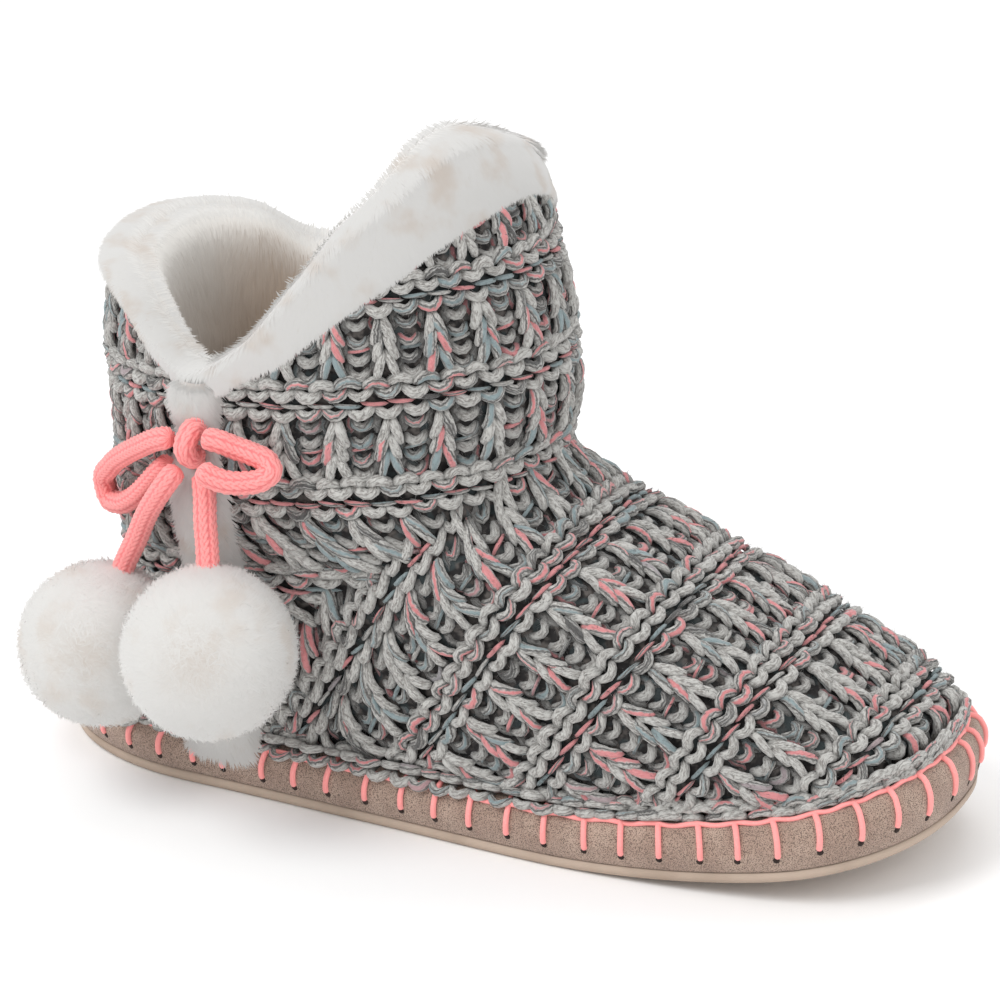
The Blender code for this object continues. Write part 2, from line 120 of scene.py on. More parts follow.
def run_along(points: Array) -> Array:
    """The length from the first point of a line, or of each of many lines, to each of its points."""
    steps = np.linalg.norm(np.diff(points, axis=-2), axis=-1)
    start = np.zeros((*steps.shape[:-1], 1))
    return np.concatenate([start, np.cumsum(steps, axis=-1)], axis=-1)


def on_grid(grid: Array, row: Array, column: Array) -> tuple[Array, Array, Array]:
    """Points between the points of a grid, each the weighted mean of the four around it.

    Args:
        grid: Rows by columns by 3. The last column joins the first.
        row: Each point's place along the rows.
        column: Each point's place along the columns.

    Returns:
        The points, and the unit directions to the next row and to the next column.
    """
    i, j = row.astype(int), column.astype(int)
    k = (j + 1) % grid.shape[1]
    s, t = (row - i)[:, None], (column - j)[:, None]
    near = grid[i, j] * (1 - s) + grid[i + 1, j] * s
    far = grid[i, k] * (1 - s) + grid[i + 1, k] * s
    points = near * (1 - t) + far * t
    return points, unit(grid[i + 1, j] - grid[i, j]), unit(grid[i, k] - grid[i, j])


@dataclass(frozen=True)
class Last:
    """The form that the slipper is built on, the same one as in the part's source.

    A section of the upper is a share of the sole's outline low down and an ellipse in the shaft. The
    tables hold shares of the named sizes.
    """

    length: float = 0.250
    ball_width: float = 0.088
    outsole_thick: float = 0.003
    outsole_inset: float = 0.0012
    side_height: float = 0.0117
    side_round: float = 0.005
    toe_spring: float = 0.0137
    toe_rise: float = 0.004
    spring_start: float = 0.60
    wall_thick: float = 0.003
    instep_height: float = 0.097
    shaft_set: float = 0.0175
    shaft_length: float = 0.1255
    shaft_width: float = 0.092
    collar_height: float = 0.182
    notch_height: float = 0.124
    fur: float = 0.006
    cuff_band: float = 0.022
    gap: float = 0.0003
    placket_width: float = 0.0155
    placket_set: float = 0.062
    heel_cap: tuple[float, float] = (0.19, 1.9)
    toe_cap: tuple[float, float] = (0.15, 2.4)
    # station, outer, inner, curve
    outline_table: tuple = (
        (0.00, 0.795, 0.750, 0.000), (0.16, 0.807, 0.761, 0.000), (0.42, 0.898, 0.807, 0.000),
        (0.66, 0.984, 0.977, 0.000), (0.84, 1.000, 1.011, 0.068), (1.00, 0.909, 0.955, 0.136),
    )
    # height, back, front, width, shaft, lift
    foot_table: tuple = (
        (0.000, 0.44, 0.924, 0.88, 0.00, 1.000), (0.082, 0.40, 0.930, 0.95, 0.00, 0.930),
        (0.204, 0.60, 0.884, 0.97, 0.05, 0.690), (0.339, 0.86, 0.770, 0.97, 0.15, 0.390),
        (0.474, 0.99, 0.642, 0.97, 0.35, 0.170), (0.596, 0.99, 0.478, 0.97, 0.60, 0.062),
        (0.706, 0.99, 0.302, 1.00, 0.80, 0.015), (0.804, 0.99, 0.116, 1.01, 0.92, 0.000),
        (0.890, 1.00, 0.032, 1.02, 1.00, 0.000), (1.000, 1.00, 0.000, 1.03, 1.00, 0.000),
    )
    # height, back, front, width
    shaft_table: tuple = (
        (0.174, -0.013, 1.002, 1.04), (0.384, 0.003, 0.986, 1.04), (0.616, 0.030, 0.946, 1.03),
        (0.872, 0.058, 0.872, 1.02), (1.000, 0.072, 0.828, 1.01),
    )
    # angle in degrees, crest, band, proud
    collar_table: tuple = (
        (-160, 0.310, 0.41, 0.10), (-140, 0.285, 0.39, 0.15), (-128, 0.210, 0.43, 0.20),
        (-118, 0.102, 0.43, 0.30), (-106, 0.000, 0.48, 0.40), (-95, 0.119, 0.55, 0.45),
        (-82, 0.390, 0.86, 0.50), (-68, 0.644, 1.00, 0.50), (-54, 0.797, 1.00, 0.45),
        (-38, 0.941, 1.02, 0.35), (-19, 1.000, 0.95, 0.25), (0, 0.960, 0.82, 0.20),
        (20, 0.860, 0.82, 0.25), (45, 0.660, 0.82, 0.40), (64, 0.525, 0.82, 0.50),
        (86, 0.339, 0.73, 0.45), (100, 0.203, 0.64, 0.35), (114, 0.120, 0.55, 0.25),
        (134, 0.275, 0.45, 0.15), (156, 0.335, 0.39, 0.10),
    )
    levels: dict[str, Array] = field(default_factory=dict)

    def __post_init__(self) -> None:
        """Works out the sections of the upper once, from the tables."""
        foot = np.array(self.foot_table).T
        shaft = np.array(self.shaft_table).T
        above = np.ones(shaft.shape[1])
        low_part = self.instep_height - self.upper_base
        self.levels.update(
            height=np.concatenate([
                self.upper_base + foot[0] * low_part,
                self.instep_height + shaft[0] * (self.collar_height - self.instep_height)]),
            back=np.concatenate([
                self.heel_end + foot[1] * self.shaft_set,
                self.shaft_back + shaft[1] * self.shaft_length]),
            front=np.concatenate([
                self.shaft_front + foot[2] * (self.length / 2 - self.shaft_front),
                self.shaft_back + shaft[2] * self.shaft_length]),
            width=np.concatenate([foot[3], shaft[3]]),
            shaft=np.concatenate([foot[4], above]),
            lift=np.concatenate([foot[5], 0 * above]),
        )

    @property
    def side_base(self) -> float:
        """Height of the side's lower edge."""
        return self.outsole_thick + self.gap

    @property
    def side_top(self) -> float:
        """Height of the side's upper edge."""
        return self.side_base + self.side_height

    @property
    def upper_base(self) -> float:
        """Height of the upper's lower edge."""
        return self.side_top + self.gap

    @property
    def heel_end(self) -> float:
        """The sole's rear end along X."""
        return -self.length / 2

    @property
    def shaft_back(self) -> float:
        """The shaft's back along X."""
        return self.heel_end + self.shaft_set

    @property
    def shaft_front(self) -> float:
        """The shaft's front along X."""
        return self.shaft_back + self.shaft_length

    @property
    def top_lift(self) -> float:
        """How far the top of the side rises at the toe."""
        return self.toe_spring + self.toe_rise

    @staticmethod
    def end_cap(share: Array, reach: float, fullness: float) -> Array:
        """1 along the shoe, falling to 0 at its end as a super-ellipse."""
        inside = np.clip(share / reach, 0.0, 1.0)
        return (1 - (1 - inside) ** fullness) ** (1 / fullness)

    def outline(self, station: Array, angle: Array) -> tuple[Array, Array]:
        """The sole's half width on the side that the angle points to, and its sideways curve.

        Args:
            station: Share of the length, from the heel end.
            angle: Angle around the section, in radians.

        Returns:
            Half width, negative on the outer side, and how far the middle line bends inwards.
        """
        stations, outer, inner, curve = np.array(self.outline_table).T
        outer = smooth(station, stations, outer)
        inner = smooth(station, stations, inner)
        curve = smooth(station, stations, curve)
        cap = self.end_cap(station, *self.heel_cap) * self.end_cap(1 - station, *self.toe_cap)
        half = np.where(np.sin(angle) < 0, -outer, inner) * cap
        return half * self.ball_width / 2, curve * self.ball_width / 2

    def toe_curve(self, x: Array) -> Array:
        """Share of the toe's rise at the length x: flat, then a parabola up to the toe end."""
        station = (x - self.heel_end) / self.length
        return np.clip((station - self.spring_start) / (1 - self.spring_start), 0, None) ** 2

    def at(self, name: str, height: Array) -> Array:
        """One column of the sections, read at a height."""
        return smooth(height, self.levels["height"], self.levels[name])

    def angle_at(self, x: Array, height: Array) -> Array:
        """The angle on the inner side whose point of the section lies at the length x."""
        back, front = self.at("back", height), self.at("front", height)
        return np.arccos(np.clip(2 * (x - back) / (front - back) - 1, -1, 1))

    def wall(self, angle: Array, height: Array) -> Array:
        """The upper's outer face: the section at this height, at this angle around it."""
        back, front = self.at("back", height), self.at("front", height)
        width, shaft = self.at("width", height), self.at("shaft", height)
        station = (1 + np.cos(angle)) / 2
        x = back + (front - back) * station
        half, curve = self.outline(station, angle)
        oval = width * np.sin(angle) * self.shaft_width / 2
        y = (1 - shaft) * (half * width + curve) + shaft * oval
        z = height + self.at("lift", height) * self.top_lift * self.toe_curve(x)
        return np.stack([x, y, z], axis=-1)

    def outward(self, angle: Array, height: Array) -> Array:
        """The unit direction straight out of the upper's outer face."""
        turn, step = 4e-3, 4e-4
        along = self.wall(angle + turn, height) - self.wall(angle - turn, height)
        up = self.wall(angle, height + step) - self.wall(angle, height - step)
        return unit(np.cross(along, up))

    def collar(self, angle: Array) -> tuple[Array, Array, Array, Array]:
        """Heights of the fur's crest, the rim and the band's edge, and how far the fur stands out."""
        rows = np.array(self.collar_table, dtype=float)
        around = np.concatenate([rows[:, 0] - 360, rows[:, 0], rows[:, 0] + 360])
        turned = (np.degrees(angle) + 180) % 360 - 180
        crest, band, proud = (smooth(turned, around, np.tile(rows[:, k], 3)) for k in (1, 2, 3))
        crest = self.notch_height + crest * (self.collar_height - self.notch_height)
        return crest, crest - self.fur, crest - band * self.cuff_band, proud * self.fur

    def sole_line(self, angle: Array, height: Array, inset: Array, lift: Array) -> Array:
        """A line around the sole: its outline moved in by inset, at a height, lifted at the toe."""
        x = (self.length / 2 - inset) * np.cos(angle)
        half, curve = self.outline((np.cos(angle) + 1) / 2, angle)
        y = half * (1 - inset / (self.ball_width / 2)) + curve
        return np.stack([x, y, height + lift * self.toe_curve(x)], axis=-1)


LAST = Last()


@dataclass
class Graph:
    """A material's nodes, made one call at a time."""

    material: Any

    @classmethod
    def new(cls, name: str) -> "Graph":
        """An empty material with its own graph."""
        material = bpy.data.materials.new(name)
        material.use_nodes = True
        material.node_tree.nodes.clear()
        return cls(material)

    def node(self, kind: str, settings: dict | None = None, out: Any = 0, **sockets: Any) -> "Socket":
        """Adds one node.

        Args:
            kind: The node's type, such as ShaderNodeTexNoise.
            settings: Values of the node itself, or the stops of a ramp under the name stops.
            out: Which output to hand back.
            **sockets: Values or links of inputs, by name with _ for a blank, or by in0, in1.

        Returns:
            The chosen output.
        """
        made = self.material.node_tree.nodes.new(kind)
        for name, value in (settings or {}).items():
            if name == "stops":
                ramp = made.color_ramp.elements
                while len(ramp) < len(value):
                    ramp.new(0.5)
                for stop, (place, colour) in zip(ramp, value):
                    stop.position = place
                    stop.color = (*colour, 1.0)
            else:
                setattr(made, name, value)
        for name, value in sockets.items():
            numbered = name[:2] == "in" and name[2:].isdigit()
            socket = made.inputs[int(name[2:]) if numbered else name.replace("_", " ")]
            self.feed(socket, value)
        return Socket(self, made.outputs[out])

    def feed(self, socket: Any, value: Any) -> None:
        """Links a socket, or sets its value."""
        if isinstance(value, Socket):
            self.material.node_tree.links.new(value.output, socket)
        elif isinstance(value, tuple) and len(socket.default_value) == 4:
            socket.default_value = (*value, 1.0)
        else:
            socket.default_value = value

    def attribute(self, name: str) -> "Socket":
        """A value that the mesh holds."""
        return self.node("ShaderNodeAttribute", {"attribute_name": name}, out="Fac")

    def mix(self, share: Any, first: Any, second: Any) -> "Socket":
        """Two colours mixed."""
        return self.node(
            "ShaderNodeMix", {"data_type": "RGBA"}, out=2, in0=share, in6=first, in7=second)

    def noise(self, scale: float, detail: float = 2.0, vector: Any = None) -> "Socket":
        """Noise on a vector or the piece's own coordinates, scale in lumps per metre."""
        place = vector if vector is not None else self.node("ShaderNodeTexCoord", out="Object")
        return self.node("ShaderNodeTexNoise", Vector=place, Scale=scale, Detail=detail)

    def uv(self) -> "Socket":
        """The piece's UV map."""
        return self.node("ShaderNodeUVMap", {"uv_map": "lay"})

    def axis(self, vector: "Socket", name: str) -> "Socket":
        """One coordinate of a vector."""
        return self.node("ShaderNodeSeparateXYZ", out=name, Vector=vector)

    def bump(self, height: "Socket", depth: float, strength: float = 1.0) -> "Socket":
        """A normal bent by a height, depth in metres."""
        return self.node("ShaderNodeBump", Height=height, Distance=depth, Strength=strength)

    def surface(self, normal: "Socket | None" = None, **sockets: Any) -> Any:
        """Ends the graph with a Principled shader, and gives the material."""
        if normal is not None:
            sockets["Normal"] = normal
        shader = self.node("ShaderNodeBsdfPrincipled", **sockets)
        end = self.material.node_tree.nodes.new("ShaderNodeOutputMaterial")
        self.material.node_tree.links.new(shader.output, end.inputs["Surface"])
        return self.material


@dataclass
class Socket:
    """One output in a graph, so that shader maths reads as a plain expression."""

    graph: Graph
    output: Any

    def maths(self, operation: str, *values: Any, clamp: bool = False) -> "Socket":
        """One Math node on these values."""
        settings = {"operation": operation, "use_clamp": clamp}
        return self.graph.node(
            "ShaderNodeMath", settings, **{f"in{k}": value for k, value in enumerate(values)})

    def __add__(self, other: Any) -> "Socket":
        """Sum."""
        return self.maths("ADD", self, other)

    __radd__ = __add__

    def __mul__(self, other: Any) -> "Socket":
        """Product."""
        return self.maths("MULTIPLY", self, other)

    __rmul__ = __mul__

    def __sub__(self, other: Any) -> "Socket":
        """Difference."""
        return self.maths("SUBTRACT", self, other)

    def __rsub__(self, other: Any) -> "Socket":
        """Difference, the other way round."""
        return self.maths("SUBTRACT", other, self)

    def fract(self) -> "Socket":
        """What is over the whole number."""
        return self.maths("FRACT", self)

    def size(self) -> "Socket":
        """The value without its sign."""
        return self.maths("ABSOLUTE", self)

    def clamped(self) -> "Socket":
        """The value held between 0 and 1."""
        return self.maths("ADD", self, 0.0, clamp=True)

    def between(self, low: float, high: float) -> "Socket":
        """0 at low and 1 at high, clamped."""
        settings = {"interpolation_type": "SMOOTHSTEP"}
        return self.graph.node(
            "ShaderNodeMapRange", settings, Value=self, From_Min=low, From_Max=high)

    def ramp(self, stops: Sequence[tuple[float, Colour]]) -> "Socket":
        """A colour ramp read at the value."""
        return self.graph.node("ShaderNodeValToRGB", {"stops": stops}, in0=self)


def linear(red: int, green: int, blue: int) -> Colour:
    """A linear colour from screen values of 0 to 255."""
    def one(value: int) -> float:
        """One part of the colour, by the sRGB curve."""
        share = value / 255
        return share / 12.92 if share <= 0.04045 else ((share + 0.055) / 1.055) ** 2.4
    return one(red), one(green), one(blue)


@dataclass(frozen=True)
class YarnFinish:
    """Marled yarn: a fat cream strand with a thin pink, teal or dark one along its side."""

    name: str = "marled yarn"
    cream: Colour = linear(190, 189, 185)
    shade: Colour = linear(116, 111, 107)
    pink: Colour = linear(212, 126, 129)
    teal: Colour = linear(126, 145, 149)
    black: Colour = linear(44, 43, 44)
    # turns of the thin strand for each millimetre, and its half width in turns: always, and at most
    twist: float = 0.024
    thin: float = 0.045
    wide: float = 0.15
    # how much wider it is on the brightest yarn
    full: float = 0.26
    # noise that moves it: lumps for each metre, and turns
    wander: tuple = ((150.0, 0.14), (1100.0, 0.11))
    # the dark lines' distance from it, and how sharply it and they end
    gap: float = 0.035
    sharp: tuple[float, float] = (22.0, 26.0)

    def material(self) -> Any:
        """The thin strand as a stripe that winds slowly along the yarn, wider where bright is high.

        The stripe lies where the turn round the yarn is within its half width of a half, and a dark
        line runs along each of its sides. Fibres are noise drawn out along the yarn. Where a strand lies
        deep in the cloth, its colour is darkened towards black as painted shade.
        """
        graph = Graph.new(self.name)
        lay = graph.uv()
        along, around = graph.axis(lay, "X"), graph.axis(lay, "Y")
        bright, seed, pick = (graph.attribute(name) for name in ("bright", "seed", "pick"))
        slow, quick = (graph.noise(scale, 1.0) * turns for scale, turns in self.wander)
        phase = (around + along * self.twist + seed + (slow + quick)).fract()
        away = (phase - 0.5).size()
        half = bright * self.wide + self.thin + bright.between(0.82, 0.98) * self.full
        stripe = ((half - away) * self.sharp[0]).clamped()
        line = 1 - ((away - half - self.gap).size() * self.sharp[1]).clamped()
        accent = pick.ramp((
            (0.00, self.pink), (0.50, self.pink), (0.54, self.teal), (0.88, self.teal),
            (0.92, self.black), (1.00, self.black)))
        stretched = graph.node(
            "ShaderNodeCombineXYZ", X=along * 0.9, Y=phase * 20.0, Z=seed * 60.0)
        fibre = graph.noise(1.0, 2.0, stretched)
        colour = graph.mix(fibre.between(0.40, 0.68) * 0.8, self.cream, self.shade)
        colour = graph.mix(stripe * 0.85, colour, accent)
        colour = graph.mix(line * 0.80, colour, self.black)
        # painted shade: strands and strand ends that lie deep in the cloth are darkened towards black
        colour = graph.mix(graph.attribute("deep") * 0.95, colour, self.black)
        height = fibre * 0.8 - line + stripe * 0.25 + graph.noise(2600.0, 2.0) * 0.4
        return graph.surface(
            graph.bump(height, 0.0007, 0.9), Base_Color=colour, Roughness=0.95, Sheen_Weight=0.3)


@dataclass(frozen=True)
class BackingFinish:
    """What shows in the gaps of the knit: crossed yarns in shade."""

    name: str = "shaded yarn"
    dark: Colour = linear(36, 34, 34)
    light: Colour = linear(94, 89, 86)
    teal: Colour = linear(58, 68, 70)

    def material(self) -> Any:
        """Blotches of dark, lighter and teal yarn."""
        graph = Graph.new(self.name)
        spots = graph.noise(380.0, 2.0)
        colour = graph.mix(spots.between(0.44, 0.68), self.dark, self.light)
        colour = graph.mix(graph.noise(210.0, 1.0).between(0.52, 0.62) * 0.7, colour, self.teal)
        return graph.surface(graph.bump(spots, 0.0012), Base_Color=colour, Roughness=1.0)


@dataclass(frozen=True)
class FurFinish:
    """Cream pile, a little browner at its roots as painted shade deep in the pile."""

    name: str = "cream fur"
    tip: Colour = linear(190, 189, 187)
    # the roots' browner colour is painted shade deep in the pile
    root: Colour = linear(180, 176, 171)
    blush: Colour = linear(178, 167, 157)
    # painted shade on the cuff's lining and the pompoms' partings, and a slight browner tint on the
    # placket
    brown_and_shade: Colour = linear(170, 152, 136)
    # painted light on the cuff's crest and lining, and a paler colour all over the pompoms
    white: Colour = linear(226, 224, 220)

    def material(self) -> Any:
        """Colour from root to tip, with faint beige streaks, painted shade and painted light."""
        graph = Graph.new(self.name)
        reach = graph.attribute("reach")
        colour = graph.mix(reach.between(0.0, 0.6), self.root, self.tip)
        patch = graph.noise(90.0, 3.0).between(0.50, 0.75)
        colour = graph.mix(patch * 0.75, colour, self.blush)
        # painted light: the cuff's crest and lining made whiter; on the pompoms a paler colour all over
        colour = graph.mix(graph.attribute("pale"), colour, self.white)
        # painted shade: the cuff's lining and its far wall and the pompoms' partings made browner; the
        # placket a little browner
        colour = graph.mix(graph.attribute("deep"), colour, self.brown_and_shade)
        return graph.surface(Base_Color=colour, Roughness=0.95, Sheen_Weight=0.3)


@dataclass(frozen=True)
class SuedeFinish:
    """Taupe brushed cloth with a fine dotted texture."""

    name: str = "taupe suede cloth"
    ground: Colour = linear(172, 147, 132)
    dot: Colour = linear(88, 72, 63)
    light: Colour = linear(188, 164, 148)
    weave: float = 3800.0

    def material(self) -> Any:
        """Close small dark dots, as in woven cloth, and a slow change of tone."""
        graph = Graph.new(self.name)
        grain = graph.noise(self.weave, 1.0)
        dots = 1 - grain.between(0.38, 0.52)
        tone = graph.noise(110.0, 3.0)
        colour = graph.mix(tone.between(0.35, 0.7), self.ground, self.light)
        colour = graph.mix(dots * 0.85, colour, self.dot)
        return graph.surface(
            graph.bump(grain, 0.0006, 0.7), Base_Color=colour, Roughness=0.95, Sheen_Weight=0.2)


@dataclass(frozen=True)
class TreadFinish:
    """The pale sole, slightly grained."""

    name: str = "pale sole"
    ground: Colour = linear(182, 163, 147)
    worn: Colour = linear(164, 145, 129)

    def material(self) -> Any:
        """Fine grain and soft stains."""
        graph = Graph.new(self.name)
        grain = graph.noise(1500.0, 2.0)
        stain = graph.noise(45.0, 3.0)
        colour = graph.mix(stain.between(0.45, 0.75), self.ground, self.worn)
        return graph.surface(
            graph.bump(grain, 0.0002, 0.5), Base_Color=colour, Roughness=0.75)


@dataclass(frozen=True)
class CordFinish:
    """Coral knitted cord."""

    name: str = "coral cord"
    ground: Colour = linear(255, 158, 155)
    # painted shade in the grooves between the stitches
    deep: Colour = linear(230, 116, 118)
    light: Colour = linear(255, 188, 184)

    def material(self) -> Any:
        """Lighter on the stitches and dark red between them, as painted shade in the grooves."""
        graph = Graph.new(self.name)
        height = graph.attribute("proud")
        fibre = graph.noise(2400.0, 2.0)
        colour = graph.mix(height.between(0.15, 0.62), self.deep, self.ground)
        colour = graph.mix(fibre.between(0.5, 0.8) * 0.5, colour, self.light)
        return graph.surface(
            graph.bump(fibre, 0.0002, 0.6), Base_Color=colour, Roughness=0.85, Sheen_Weight=0.2)


@dataclass(frozen=True)
class PileFinish:
    """Short cream pile of the insole and the lining."""

    name: str = "cream pile"
    ground: Colour = linear(226, 220, 212)
    shade: Colour = linear(176, 164, 152)

    def material(self) -> Any:
        """Soft tufts."""
        graph = Graph.new(self.name)
        tuft = graph.noise(700.0, 3.0)
        colour = graph.mix(tuft.between(0.35, 0.65), self.shade, self.ground)
        return graph.surface(
            graph.bump(tuft, 0.001, 0.8), Base_Color=colour, Roughness=1.0, Sheen_Weight=0.3)


def quads(rows: int, columns: int, wrap: bool = False) -> Array:
    """Faces of a grid of points.

    Args:
        rows: Points along the first direction.
        columns: Points along the second.
        wrap: Whether the last column joins the first.

    Returns:
        Four point numbers for each face.
    """
    i = np.arange(rows - 1)[:, None]
    j = np.arange(columns if wrap else columns - 1)[None, :]
    k = (j + 1) % columns
    corners = [i * columns + j, i * columns + k, (i + 1) * columns + k, (i + 1) * columns + j]
    return np.stack(np.broadcast_arrays(*corners), axis=-1).reshape(-1, 4)


@dataclass
class Piece:
    """A mesh in the making: points, faces and what the shader reads from it."""

    points: Array
    faces: Array
    uv: Array | None = None
    values: dict[str, Array] = field(default_factory=dict)
    normals: Array | None = None

    def make(self, name: str, material: Any, slot: Slot, clear: bool = False) -> Any:
        """Puts the mesh into the scene and rides it on the body.

        Args:
            name: The piece's name.
            material: Its finish.
            slot: The record's slot that the finish stands for; it is not used.
            clear: Whether light passes the piece, as it does the fine hairs of a pile.

        Returns:
            The new object.
        """
        mesh = bpy.data.meshes.new(name)
        width = self.faces.shape[1]
        mesh.vertices.add(len(self.points))
        mesh.vertices.foreach_set("co", self.points.astype(np.float32).ravel())
        mesh.loops.add(self.faces.size)
        mesh.loops.foreach_set("vertex_index", self.faces.astype(np.int32).ravel())
        mesh.polygons.add(len(self.faces))
        starts = np.arange(len(self.faces), dtype=np.int32) * width
        mesh.polygons.foreach_set("loop_start", starts)
        mesh.polygons.foreach_set("use_smooth", np.ones(len(self.faces), dtype=bool))
        mesh.update(calc_edges=True)
        if self.uv is not None:
            layer = mesh.uv_layers.new(name="lay")
            layer.data.foreach_set("uv", self.uv.astype(np.float32).ravel())
        for label, value in self.values.items():
            attribute = mesh.attributes.new(label, "FLOAT", "POINT")
            attribute.data.foreach_set("value", value.astype(np.float32).ravel())
        if self.normals is not None:
            mesh.normals_split_custom_set_from_vertices(self.normals.tolist())
        mesh.materials.append(material)
        made = bpy.data.objects.new(name, mesh)
        bpy.context.scene.collection.objects.link(made)
        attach(made, BODY)
        made.visible_shadow = not clear
        made.visible_diffuse = not clear
        LOG.info("%s: %d triangles", name, len(self.faces) * (width - 2))
        return made


def grid_piece(points: Array, wrap: bool = False, **values: Array) -> Piece:
    """A piece from a grid of points, rows by columns."""
    rows, columns = points.shape[:2]
    flat = {name: np.broadcast_to(value, (rows, columns)).ravel() for name, value in values.items()}
    return Piece(points.reshape(-1, 3), quads(rows, columns, wrap), values=flat)


def rings(paths: Array, side: Array, around: int) -> Array:
    """Unit directions all round each point of a path, square to it, the first one nearest to side."""
    along = unit(np.gradient(paths, axis=-2))
    out = unit(side - np.sum(side * along, axis=-1, keepdims=True) * along)
    across = np.cross(along, out)
    turn = np.linspace(0, 2 * math.pi, around, endpoint=False)[:, None]
    return np.cos(turn) * out[..., None, :] + np.sin(turn) * across[..., None, :]


def tubes(paths: Array, side: Array, radius: Array, around: int) -> Piece:
    """Round strands that follow many paths at once.

    Args:
        paths: Strands by points by 3.
        side: A direction away from the cloth at each point, where each ring starts.
        radius: Strands by points.
        around: Points around a strand.

    Returns:
        All strands as one piece, whose UV is the length along in millimetres and the share around.
    """
    count, steps = paths.shape[:2]
    points = paths[:, :, None, :] + rings(paths, side, around) * radius[:, :, None, None]
    one = quads(steps, around, wrap=True)
    shift = np.arange(count)[:, None, None] * steps * around
    run = run_along(paths) / MM
    face_row, face_column = one[:, 0] // around, one[:, 0] % around
    u = run[:, face_row[:, None] + np.array([0, 0, 1, 1])]
    v = (face_column[:, None] + np.array([0, 1, 1, 0])) / around
    uv = np.stack(np.broadcast_arrays(u, v), axis=-1)
    return Piece(points.reshape(-1, 3), (one + shift).reshape(-1, 4), uv=uv.reshape(-1, 2))


def route_points(route: Sequence[tuple], spacing: float) -> Array:
    """Points at even spacing on a smooth curve through a route's own points."""
    given = np.array(route) * MM
    at = run_along(given)
    count = max(4, int(round(at[-1] / spacing)) + 1)
    even = np.linspace(0, at[-1], count)
    return np.stack([smooth(even, at, given[:, axis]) for axis in range(3)], axis=-1)


@dataclass
class Studio:
    """The camera at the photo's angle, the pale floor and the soft lights."""

    azimuth: float = 24.0
    elevation: float = 22.0
    distance: float = 1.1
    target: tuple[float, float, float] = (0.0, 0.0, 0.070)
    lens: float = 154.69
    shift: tuple[float, float] = (-0.0035, 0.0324)
    floor_size: float = 12.0
    paper: float = 0.93
    sky: float = 0.80
    # name, azimuth, elevation, width in metres and power in watts of each lamp
    lamps: tuple = (
        ("key", -35.0, 48.0, 0.9, 11.0), ("fill", 75.0, 35.0, 1.1, 4.5),
        ("back", 190.0, 55.0, 1.0, 5.0))
    lamp_distance: float = 1.5

    def aim(self, name: str, data: Any, azimuth: float, elevation: float, distance: float) -> Any:
        """Puts a camera or a lamp where it looks at the target.

        Args:
            name: The new object's name.
            data: The camera or the lamp.
            azimuth: Degrees from the shoe's outer side towards its toe.
            elevation: Degrees above the floor.
            distance: Metres from the target.

        Returns:
            The new object.
        """
        turn, tilt = math.radians(azimuth), math.radians(elevation)
        way = Vector((
            math.sin(turn) * math.cos(tilt), -math.cos(turn) * math.cos(tilt), math.sin(tilt)))
        made = bpy.data.objects.new(name, data)
        bpy.context.scene.collection.objects.link(made)
        made.location = Vector(self.target) + way * distance
        made.rotation_mode = "QUATERNION"
        made.rotation_quaternion = (-way).to_track_quat("-Z", "Y")
        return made

    def camera(self) -> None:
        """Sets the camera."""
        data = bpy.data.cameras.new("camera")
        data.lens, data.sensor_width = self.lens, 36.0
        data.shift_x, data.shift_y = self.shift
        made = self.aim("camera", data, self.azimuth, self.elevation, self.distance)
        bpy.context.scene.camera = made

    def build(self) -> None:
        """Sets the floor, the lamps and the world."""
        half = self.floor_size / 2
        mesh = bpy.data.meshes.new("floor")
        corners = [(-half, -half, 0), (half, -half, 0), (half, half, 0), (-half, half, 0)]
        mesh.from_pydata(corners, [], [(0, 1, 2, 3)])
        graph = Graph.new("white paper")
        mesh.materials.append(graph.surface(Base_Color=(self.paper,) * 3, Roughness=0.9))
        floor = bpy.data.objects.new("floor", mesh)
        bpy.context.scene.collection.objects.link(floor)
        for name, azimuth, elevation, width, power in self.lamps:
            data = bpy.data.lights.new(name, "AREA")
            data.shape, data.size, data.energy = "DISK", width, power
            self.aim(name, data, azimuth, elevation, self.lamp_distance)
        world = bpy.data.worlds.new("studio")
        world.use_nodes = True
        shade = world.node_tree.nodes["Background"]
        shade.inputs["Color"].default_value = (1.0, 1.0, 1.0, 1.0)
        shade.inputs["Strength"].default_value = self.sky
        bpy.context.scene.world = world
        bpy.context.scene.view_settings.view_transform = "Standard"


